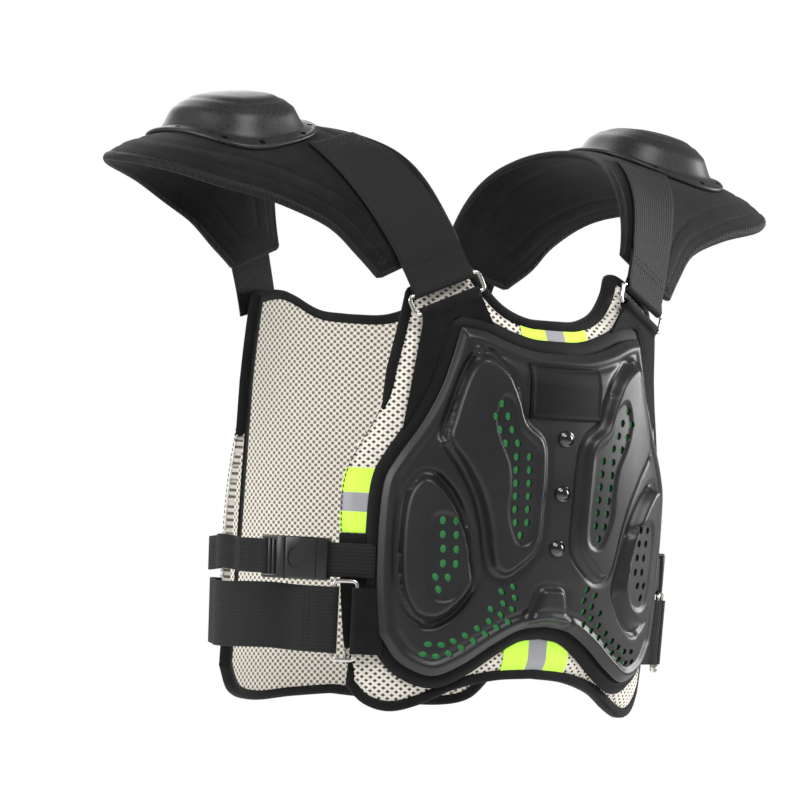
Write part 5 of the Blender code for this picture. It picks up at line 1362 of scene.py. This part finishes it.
class VEST_OT_belts(PieceOperator):
    """Makes the waist belts with their tabs and the upper side webbing"""

    bl_idname = "vest.belts"
    bl_label = "Belts"

    def execute(self, context):
        thick = context.scene.vest_sizes.webbing
        pad = outline_of(CHEST_PAD, CHEST_PAD_SIZE, 88, 88)
        plate = outline_of(CHEST_PLATE, CHEST_PLATE_SIZE, 96, 96)
        ring_lift = PLATE_SEAT + WIRE_EYE + STRAP_THICKNESS
        half_spacing = WAIST_RING[1] / 2 - WIRE_RADIUS
        back_bar, front_bar = WAIST_RING_GIRTH + half_spacing, WAIST_RING_GIRTH - half_spacing
        back_end = HALF_GIRTH - BACK_PAD_SIZE[0] + BACK_SEWN
        for side_name, side in SIDES:
            pad_edge = edge_at(pad, -BELT_DROP, 1, max)
            rest = [(back_end - back_bar, 0.0)]

            def on_belt(flat, bar=back_bar, lift=ring_lift, drop=BELT_DROP, edge=pad_edge):
                girth = bar + flat[:, 0]
                body = belt_lift(girth, lift, LAYER + STRAP_THICKNESS / 2, max(edge, bar + 6 * MM))
                wave = smooth((girth - bar - 30 * MM) / (30 * MM)) * smooth((back_end - girth) / (40 * MM))
                ripple_out = 0.9 * MM * np.sin(girth * 95) * wave
                height = -drop + flat[:, 1] + 1.0 * MM * np.sin(girth * 38 + 0.6) * wave
                return on_torso(np.column_stack([side * girth, height, body + flat[:, 2] + ripple_out]))

            belt = webbing("belt_" + side_name, folded_line(WIRE_EYE, thick, 26 * MM, rest), BELT_WIDTH,
                           on_belt, 150, 10)
            hand_over(belt, finish_of("webbing"), "black_webbing", ["waist_belt_" + side_name])
            rows = [[(x, y, 1.15 * thick) for y in np.linspace(-21, 21, 15) * MM] for x in (18 * MM, 22 * MM)]
            end = back_end - back_bar
            rows += [[(x, y, 0.55 * thick) for y in np.linspace(-21, 21, 15) * MM]
                     for x in (end - 4 * MM, end - 16 * MM)]
            stitches("belt_stitches_" + side_name, rows, on_belt, finish_of("stitch"), "black_webbing")
            foot = edge_at(plate, -BELT_DROP, 1, max)

            def on_tab(flat):
                girth = front_bar - flat[:, 0]
                share = smooth(flat[:, 0] / (front_bar - foot))
                drop = (ring_lift - PLATE_SEAT - STRAP_THICKNESS / 2) * share
                return on_torso(np.column_stack([side * girth, flat[:, 1] - BELT_DROP,
                                                 ring_lift - drop + flat[:, 2]]))

            reach = front_bar - foot + 3 * MM
            tab = webbing("waist_tab_" + side_name + "_cloth",
                          [(reach, -0.3 * thick)] + folded_line(WIRE_EYE, thick, 9 * MM, [])[1:-2]
                          + [(reach, 0.55 * thick)], BELT_WIDTH, on_tab, 60, 10)
            hand_over(tab, finish_of("knit"), "black_fabric", ["waist_tab_" + side_name])
            self.buckle_web(side_name, side, pad, thick, back_end)
        return {"FINISHED"}

    def buckle_web(self, side_name, side, pad, thick, back_end):
        start = edge_at(pad, -BUCKLE_DROP, 1, max) + 1 * MM
        bar = start + BUCKLE_SIZE[0] + 0.4 * MM + LADDER_LENGTH - 1.5 * MM
        lift = LAYER + BUCKLE_SIZE[2] * 0.2

        def on_web(flat):
            girth = bar + flat[:, 0]
            body = belt_lift(girth, lift - 1 * MM, LAYER + 1 * MM, bar + 8 * MM)
            wave = smooth((girth - bar - 25 * MM) / (20 * MM)) * smooth((back_end - girth) / (40 * MM))
            height = -BUCKLE_DROP + flat[:, 1] + 1.6 * MM * np.sin(girth * 46 + 1.9) * wave
            body = body + 1.1 * MM * np.sin(girth * 120 + 0.8) * wave
            return on_torso(np.column_stack([side * girth, height, body + flat[:, 2]]))

        line = folded_line(2.2 * MM, thick, 30 * MM, [(back_end - bar, 0.0)])
        web = webbing("side_webbing_" + side_name, line, BUCKLE_WEB_WIDTH, on_web, 150, 8)
        hand_over(web, finish_of("webbing"), "black_webbing", ["buckle_web_" + side_name])
        rows = [[(x, y, 1.15 * thick) for y in np.linspace(-10, 10, 9) * MM] for x in (22 * MM, 26 * MM)]
        rows += [[(back_end - bar - 4 * MM, y, 0.55 * thick) for y in np.linspace(-10, 10, 9) * MM]]
        stitches("side_webbing_stitches_" + side_name, rows, on_web, finish_of("stitch"), "black_webbing")


class VEST_OT_buckles(PieceOperator):
    """Makes the fastened side buckles"""

    bl_idname = "vest.buckles"
    bl_label = "Buckles"

    def execute(self, context):
        pad = outline_of(CHEST_PAD, CHEST_PAD_SIZE, 88, 88)
        start = edge_at(pad, -BUCKLE_DROP, 1, max) + 1 * MM
        long, wide, thick = BUCKLE_SIZE
        lift = LAYER + thick * 0.2
        for side_name, side in SIDES:

            def on_side(flat):
                return on_torso(np.column_stack([side * (start + flat[:, 0]), flat[:, 1] - BUCKLE_DROP,
                                                 lift + flat[:, 2]]))

            socket = self.socket("socket_" + side_name, long, wide, thick)
            bend(socket, on_side)
            hand_over(socket, finish_of("plastic"), "black_plastic", ["buckle_socket_" + side_name])
            plug = self.plug("plug_" + side_name, long, wide, thick)
            bend(plug, on_side)
            hand_over(plug, finish_of("plastic"), "black_plastic", ["buckle_plug_" + side_name])
        return {"FINISHED"}

    def socket(self, name, long, wide, thick):
        """The socket: a rounded body with side windows, a thumb dish and a web slot."""
        body = add_block(name, (0, -wide / 2, -thick / 2), (long, wide / 2, thick / 2), 1.6 * MM)
        modify(body, "SUBSURF", levels=1, render_levels=1, subdivision_type="SIMPLE")
        tools = [add_block("window", (long - 17 * MM, edge - 2.6 * MM, -2.6 * MM),
                           (long - 6 * MM, edge + 2.6 * MM, 2.6 * MM), 1.0 * MM)
                 for edge in (-wide / 2, wide / 2)]
        tools.append(add_block("mouth", (-2 * MM, -12.9 * MM, -1.4 * MM), (5.5 * MM, 12.9 * MM, 1.4 * MM), 0))
        tools.append(add_post((long - 8 * MM, 0), 7.5 * MM, 5.5 * MM, 0, thick / 2 - 0.8 * MM, thick, 32))
        tools.append(add_block("line", (7 * MM, -wide / 2 - 1 * MM, thick / 2 - 0.5 * MM),
                               (7.9 * MM, wide / 2 + 1 * MM, thick), 0))
        cut(body, tools)
        return body

    def plug(self, name, long, wide, thick):
        """The plug: a head against the socket, then two rails, a thumb bar and a web bar."""
        head = long + 0.4 * MM
        far = head + LADDER_LENGTH
        parts = [add_block(name, (head, -wide / 2, -0.36 * thick), (head + 6.6 * MM, wide / 2, 0.36 * thick),
                           1.2 * MM)]
        for side in (-1, 1):
            rail = sorted((side * wide / 2, side * (wide / 2 - 3 * MM)))
            parts.append(add_block("rail", (head + 5 * MM, rail[0], -2.2 * MM), (far, rail[1], 2.2 * MM),
                                   0.9 * MM))
        for at in (head + 8.6 * MM, far - 7.2 * MM, far - 3.2 * MM):
            parts.append(add_block("bar", (at, -wide / 2 + 1 * MM, -1.9 * MM),
                                   (at + 2.6 * MM, wide / 2 - 1 * MM, 1.9 * MM), 0.9 * MM))
        return join(name, parts)


class VEST_OT_rings(PieceOperator):
    """Makes the nickel plated wire rings at the shoulders and the waist"""

    bl_idname = "vest.rings"
    bl_label = "Wire Rings"

    def execute(self, context):
        for side_name, side in SIDES:
            width, height = SHOULDER_RING
            middle = -(height / 2 - WIRE_RADIUS)
            self.ring("wire_ring_shoulder_" + side_name, (middle, 0.0), (height, width), 0.0,
                      RUNS[side_name].place, "shoulder_ring_" + side_name)
            width, height = WAIST_RING
            lift = PLATE_SEAT + WIRE_EYE + STRAP_THICKNESS
            self.ring("wire_ring_waist_" + side_name, (side * WAIST_RING_GIRTH, -BELT_DROP), (height, width),
                      lift, on_torso, "waist_ring_" + side_name)
        return {"FINISHED"}

    def ring(self, name, centre, size, lift, place, node):
        """A rounded rectangle of round wire."""
        corner = RING_CORNER
        half = np.array(size) / 2 - WIRE_RADIUS
        path, ways = [], []
        for cx, cy, start in ((1, 1, 0), (-1, 1, 90), (-1, -1, 180), (1, -1, 270)):
            for angle in np.radians(np.linspace(start, start + 90, 9)):
                way = np.array([math.cos(angle), math.sin(angle)])
                path.append(np.array(centre) + np.array([cx, cy]) * (half - corner) + way * corner)
                ways.append(way)

        def section(k, angle):
            out = WIRE_RADIUS * math.cos(angle)
            return (*(path[k] + ways[k] * out), lift + WIRE_RADIUS * math.sin(angle))

        ring = swept_ring(name, path, section, 14)
        bend(ring, place)
        hand_over(ring, finish_of("nickel"), "plated_wire", [node])


def wing_fill(run):
    """Distance along the run and outward, from shares along and across the wing."""
    dense = curve_through(WING_OUTLINE, 120)
    first, last = WING_OUTLINE[0][0], WING_OUTLINE[-1][0]

    def fill(s, t):
        share = first + (last - first) * s
        outer = np.interp(share, dense[:, 0], dense[:, 1]) * WING_REACH
        fullness = smooth(np.minimum(share - first, last - share) / 0.22)
        inner = -(STRAP_WIDTH / 2 + 2 * MM + 9 * MM * fullness)
        return np.stack([share * run.length, inner + (outer - inner) * t], axis=1)

    return fill


class VEST_OT_shoulder_pads(PieceOperator):
    """Makes the padded wings that hang over the shoulders, with piping and sewn channels"""

    bl_idname = "vest.shoulder_pads"
    bl_label = "Shoulder Pads"

    def execute(self, context):
        for side_name, side in SIDES:
            run = RUNS[side_name]
            fill = wing_fill(run)
            share = np.linspace(0, 1, 60)
            zero, one = np.zeros(60), np.ones(60)
            loop = np.vstack([fill(share, zero)[:-1], fill(one, share)[:-1], fill(share[::-1], one)[:-1],
                              fill(zero, share[::-1])[:-1]])

            def thickness(flat):
                depth = depth_inside(flat, loop)
                full = WING_EDGE + (WING_THICKNESS - WING_EDGE) * smooth((depth + 1 * MM) / (14 * MM))
                for inset in WING_CHANNELS:
                    full = full - 1.5 * MM * np.exp(-((depth - inset) / (1.6 * MM)) ** 2)
                return full

            def upper(flat):
                return WING_TOP - (WING_THICKNESS - thickness(flat)) * 0.6

            wing = flat_panel("shoulder_wing_" + side_name, 130, 56, fill)
            set_lifts(wing, upper, lambda flat: upper(flat) - thickness(flat))
            keep_flat_map(wing)
            bend(wing, run.place)
            hand_over(wing, finish_of("knit"), "black_fabric", ["shoulder_pad_" + side_name])
            edge = even_points(np.vstack([loop, loop[:1]]), 241)[:-1]
            ways = loop_normals(edge)
            middle = WING_TOP - WING_THICKNESS * 0.55

            def section(k, angle):
                spot = edge[k] + ways[k] * (-1.0 * MM + 2.6 * MM * math.cos(angle))
                return spot[0], spot[1], middle + 3.0 * MM * math.sin(angle)

            piping = swept_ring("wing_piping_" + side_name, edge, section, 12)
            keep_flat_map(piping)
            bend(piping, run.place)
            hand_over(piping, finish_of("webbing"), "black_fabric")
            rows = [offset_line(edge, inset, upper) for inset in WING_CHANNELS]
            stitches("wing_stitches_" + side_name, rows, run.place, finish_of("stitch"), "black_fabric")
        return {"FINISHED"}


def cap_outline(angle):
    c, s = math.cos(angle), math.sin(angle)
    return np.array([math.copysign(abs(c) ** CAP_SQUARENESS, c), math.copysign(abs(s) ** CAP_SQUARENESS, s)])


class VEST_OT_shoulder_caps(PieceOperator):
    """Makes the domed, pierced caps on the shoulder pads"""

    bl_idname = "vest.shoulder_caps"
    bl_label = "Shoulder Caps"

    def execute(self, context):
        angles = np.linspace(0, 2 * math.pi, 241)
        outline = np.array([cap_outline(a) for a in angles])
        for side_name, side in SIDES:
            run = RUNS[side_name]
            middle = np.array([(run.top_share - CAP_FORWARD) * run.length, CAP_OUTSET])
            half = np.array(CAP_SIZE) / 2

            def fill(s, t):
                a, b = 2 * s - 1, 2 * t - 1
                size = np.maximum(np.abs(a), np.abs(b))
                turn = np.arctan2(b, a) % (2 * math.pi)
                rim = np.stack([np.interp(turn, angles, outline[:, k]) for k in (0, 1)], axis=1)
                return middle + rim * size[:, None] * half

            def size_of(flat):
                """Share of the way from the cap's middle to its outline."""
                off = (flat - middle) / half
                eased = np.sign(off) * np.abs(off) ** (1 / CAP_SQUARENESS)
                turn = np.arctan2(eased[:, 1], eased[:, 0]) % (2 * math.pi)
                rim = np.stack([np.interp(turn, angles, outline[:, k]) for k in (0, 1)], axis=1)
                return np.linalg.norm(off, axis=1) / np.linalg.norm(rim, axis=1)

            def top(flat):
                size = size_of(flat)
                flange = 1 - 2 * CAP_FLANGE / CAP_SIZE[1]
                steps = np.append(np.array((0, 0.25, 0.5, 0.7, 0.84, 0.94, 1.0)) * flange, 1.0)
                rise = np.interp(size, steps, (1.0, 0.985, 0.93, 0.81, 0.60, 0.22, 0.03, 0.0))
                lip = 0.7 * MM * np.exp(-((size - 0.975) / 0.018) ** 2)
                step = 0.8 * MM * smooth((0.62 * flange - size) / 0.03)
                return WING_TOP + 1 * MM + CAP_WALL + CAP_RISE * rise + lip + step - 0.5 * MM

            cap = flat_panel("cap_shell_" + side_name, 72, 72, fill)
            set_lifts(cap, top, lambda flat: top(flat) - CAP_WALL)
            modify(cap, "BEVEL", width=0.6 * MM, segments=2, limit_method="ANGLE", angle_limit=EDGE_ANGLE)
            posts = []
            for k in range(CAP_HOLES):
                spot = cap_outline(2 * math.pi * (k + 0.5) / CAP_HOLES) * (1 - CAP_FLANGE / CAP_SIZE[1])
                posts.append(add_post(middle + spot * half, 2.4 * MM, 2.4 * MM, 0, WING_TOP - 5 * MM,
                                      WING_TOP + 30 * MM, 16))
            cut(cap, posts)
            keep_flat_map(cap)
            bend(cap, run.place)
            hand_over(cap, finish_of("cap"), "grey_shell", ["shoulder_cap_" + side_name])
        return {"FINISHED"}


class VEST_OT_shoulder_straps(PieceOperator):
    """Makes the wide shoulder straps in front and behind, sewn down at their ends"""

    bl_idname = "vest.shoulder_straps"
    bl_label = "Shoulder Straps"

    def execute(self, context):
        thick = context.scene.vest_sizes.webbing
        for side_name, side in SIDES:
            run = RUNS[side_name]
            cap_half = CAP_SIZE[0] / 2
            front_end = (run.top_share - CAP_FORWARD) * run.length - cap_half - CAP_TO_STRAP * run.length
            back_start = (run.top_share - CAP_FORWARD) * run.length + cap_half + CAP_TO_STRAP * run.length
            line = folded_line(WIRE_EYE, thick, 30 * MM, [(front_end, 0.0)])
            strap = webbing("strap_front_" + side_name, line, STRAP_WIDTH, run.place, 110, 12)
            hand_over(strap, finish_of("webbing"), "black_webbing", ["shoulder_strap_front_" + side_name])
            strap = webbing("strap_back_" + side_name, [(back_start, 0.0), (run.length, 0.0)], STRAP_WIDTH,
                            run.place, 90, 12)
            hand_over(strap, finish_of("webbing"), "black_webbing", ["shoulder_strap_back_" + side_name])
            across = np.linspace(-20.5, 20.5, 15) * MM
            rows = [[(x, y, 1.15 * thick) for y in across] for x in (21 * MM, 26 * MM)]
            ends = (front_end - 3 * MM, front_end - 7 * MM, back_start + 3 * MM, back_start + 7 * MM,
                    run.length - 4 * MM, run.length - 16 * MM)
            rows += [[(x, y, 0.55 * thick) for y in across] for x in ends]
            stitches("strap_stitches_" + side_name, rows, run.place, finish_of("stitch"), "black_webbing")
        return {"FINISHED"}


class VEST_OT_back_plate(PieceOperator):
    """Makes the plain back plate"""

    bl_idname = "vest.back_plate"
    bl_label = "Back Plate"

    def execute(self, context):
        plate = flat_panel("back_plate_moulding", 120, 130,
                           fill_sides(half_sides(BACK_PLATE, BACK_PLATE_SIZE, 120, 130)))
        set_lifts(plate, back_relief, lambda flat: back_relief(flat) - SHELL_WALL)
        modify(plate, "BEVEL", width=0.7 * MM, segments=2, limit_method="ANGLE", angle_limit=EDGE_ANGLE)
        keep_flat_map(plate)
        bend(plate, on_back)
        hand_over(plate, finish_of("shell"), "grey_shell", ["back_plate"], sharp=38)
        return {"FINISHED"}


CAMERA_AZIMUTH = math.radians(-35)
CAMERA_ELEVATION = math.radians(-1)
CAMERA_ROLL = math.radians(3)
CAMERA_DISTANCE = 4.5
CAMERA_TARGET = Vector((-0.022, 0.0195, -0.201))
FRAME_WIDTH = 0.600
SENSOR_WIDTH = 36.0
FLOOR_DROP = 1.30
FLOOR_RADIUS = 9.0


class VEST_OT_studio(PieceOperator):
    """Sets the pale floor, the soft lights and the camera"""

    bl_idname = "vest.studio"
    bl_label = "Studio"

    def execute(self, context):
        bpy.ops.object.select_all(action="DESELECT")
        bpy.ops.mesh.primitive_circle_add(vertices=96, radius=FLOOR_RADIUS, fill_type="NGON",
                                          location=(0, 0, -FLOOR_DROP))
        floor = fresh("studio_floor")
        made, _, _ = new_material("pale_floor", linear("#f4f4f4"), 0.8, Emission_Color=(1, 1, 1, 1),
                                  Emission_Strength=0.30)
        floor.data.materials.append(made)
        world = context.scene.world or bpy.data.worlds.new("studio")
        context.scene.world = world
        world.use_nodes = True
        tree = world.node_tree
        lit = tree.nodes["Background"]
        lit.inputs["Color"].default_value = (1, 1, 1, 1)
        lit.inputs["Strength"].default_value = 0.34
        seen = add_node(tree, "Background", {"Color": (1, 1, 1, 1), "Strength": 1.0})
        rays = add_node(tree, "LightPath")
        add_node(tree, "MixShader", {0: rays.outputs["Is Camera Ray"], 1: lit.outputs[0], 2: seen.outputs[0]},
                 tree.nodes["World Output"].inputs["Surface"])
        context.scene.view_settings.view_transform = "Standard"
        for name, azimuth, height, distance, size, power in (
                ("right", 72, 0.3, 2.0, 1.0, 50), ("front", -16, 1.8, 1.7, 1.6, 66),
                ("left", -108, 0.4, 2.2, 1.4, 36), ("back", 165, 1.0, 2.2, 1.4, 26)):
            self.light(name, math.radians(azimuth), height, distance, size, power)
        self.camera(context)
        return {"FINISHED"}

    def light(self, name, azimuth, height, distance, size, power):
        where = Vector((math.sin(azimuth) * distance, -math.cos(azimuth) * distance, height))
        bpy.ops.object.light_add(type="AREA", radius=size, location=where)
        lamp = bpy.context.object
        lamp.name = "softbox_" + name
        lamp.data.shape = "SQUARE"
        lamp.data.size = size
        lamp.data.energy = power
        lamp.rotation_euler = (CAMERA_TARGET - where).to_track_quat("-Z", "Y").to_euler()

    def camera(self, context):
        way = Vector((math.sin(CAMERA_AZIMUTH) * math.cos(CAMERA_ELEVATION),
                      -math.cos(CAMERA_AZIMUTH) * math.cos(CAMERA_ELEVATION), math.sin(CAMERA_ELEVATION)))
        bpy.ops.object.camera_add(location=CAMERA_TARGET + way * CAMERA_DISTANCE)
        camera = bpy.context.object
        camera.name = "camera"
        aim = (-way).to_track_quat("-Z", "Y").to_matrix().to_4x4()
        camera.rotation_euler = (aim @ Matrix.Rotation(CAMERA_ROLL, 4, "Z")).to_euler()
        camera.data.sensor_width = SENSOR_WIDTH
        camera.data.lens = SENSOR_WIDTH * CAMERA_DISTANCE / FRAME_WIDTH
        context.scene.camera = camera


class VEST_PT_panel(bpy.types.Panel):
    """Lists the vest's operators, sizes and colours"""

    bl_idname = "VEST_PT_panel"
    bl_label = "Armour Vest"
    bl_space_type = "VIEW_3D"
    bl_region_type = "UI"
    bl_category = "Vest"

    def draw(self, context):
        for operator in OPERATORS:
            self.layout.operator(operator.bl_idname)
        for group in (context.scene.vest_sizes, context.scene.vest_colours):
            for key in group.__annotations__:
                self.layout.prop(group, key)


OPERATORS = (VEST_OT_pads, VEST_OT_carrier, VEST_OT_chest_plate, VEST_OT_badge, VEST_OT_tapes, VEST_OT_tabs,
             VEST_OT_belts, VEST_OT_buckles, VEST_OT_rings, VEST_OT_shoulder_pads, VEST_OT_shoulder_caps,
             VEST_OT_shoulder_straps, VEST_OT_back_plate, VEST_OT_studio)
CLASSES = (VestSizes, VestColours) + OPERATORS + (VEST_PT_panel,)


def register():
    for each in CLASSES:
        bpy.utils.register_class(each)
    bpy.types.Scene.vest_sizes = PointerProperty(type=VestSizes)
    bpy.types.Scene.vest_colours = PointerProperty(type=VestColours)


def unregister():
    del bpy.types.Scene.vest_colours
    del bpy.types.Scene.vest_sizes
    for each in reversed(CLASSES):
        bpy.utils.unregister_class(each)


def main():
    register()
    bpy.ops.vest.pads()
    bpy.ops.vest.carrier()
    bpy.ops.vest.chest_plate()
    bpy.ops.vest.badge()
    bpy.ops.vest.tapes()
    bpy.ops.vest.tabs()
    bpy.ops.vest.belts()
    bpy.ops.vest.buckles()
    bpy.ops.vest.rings()
    bpy.ops.vest.shoulder_pads()
    bpy.ops.vest.shoulder_caps()
    bpy.ops.vest.shoulder_straps()
    bpy.ops.vest.back_plate()
    bpy.ops.vest.studio()


if __name__ == "__main__":
    main()
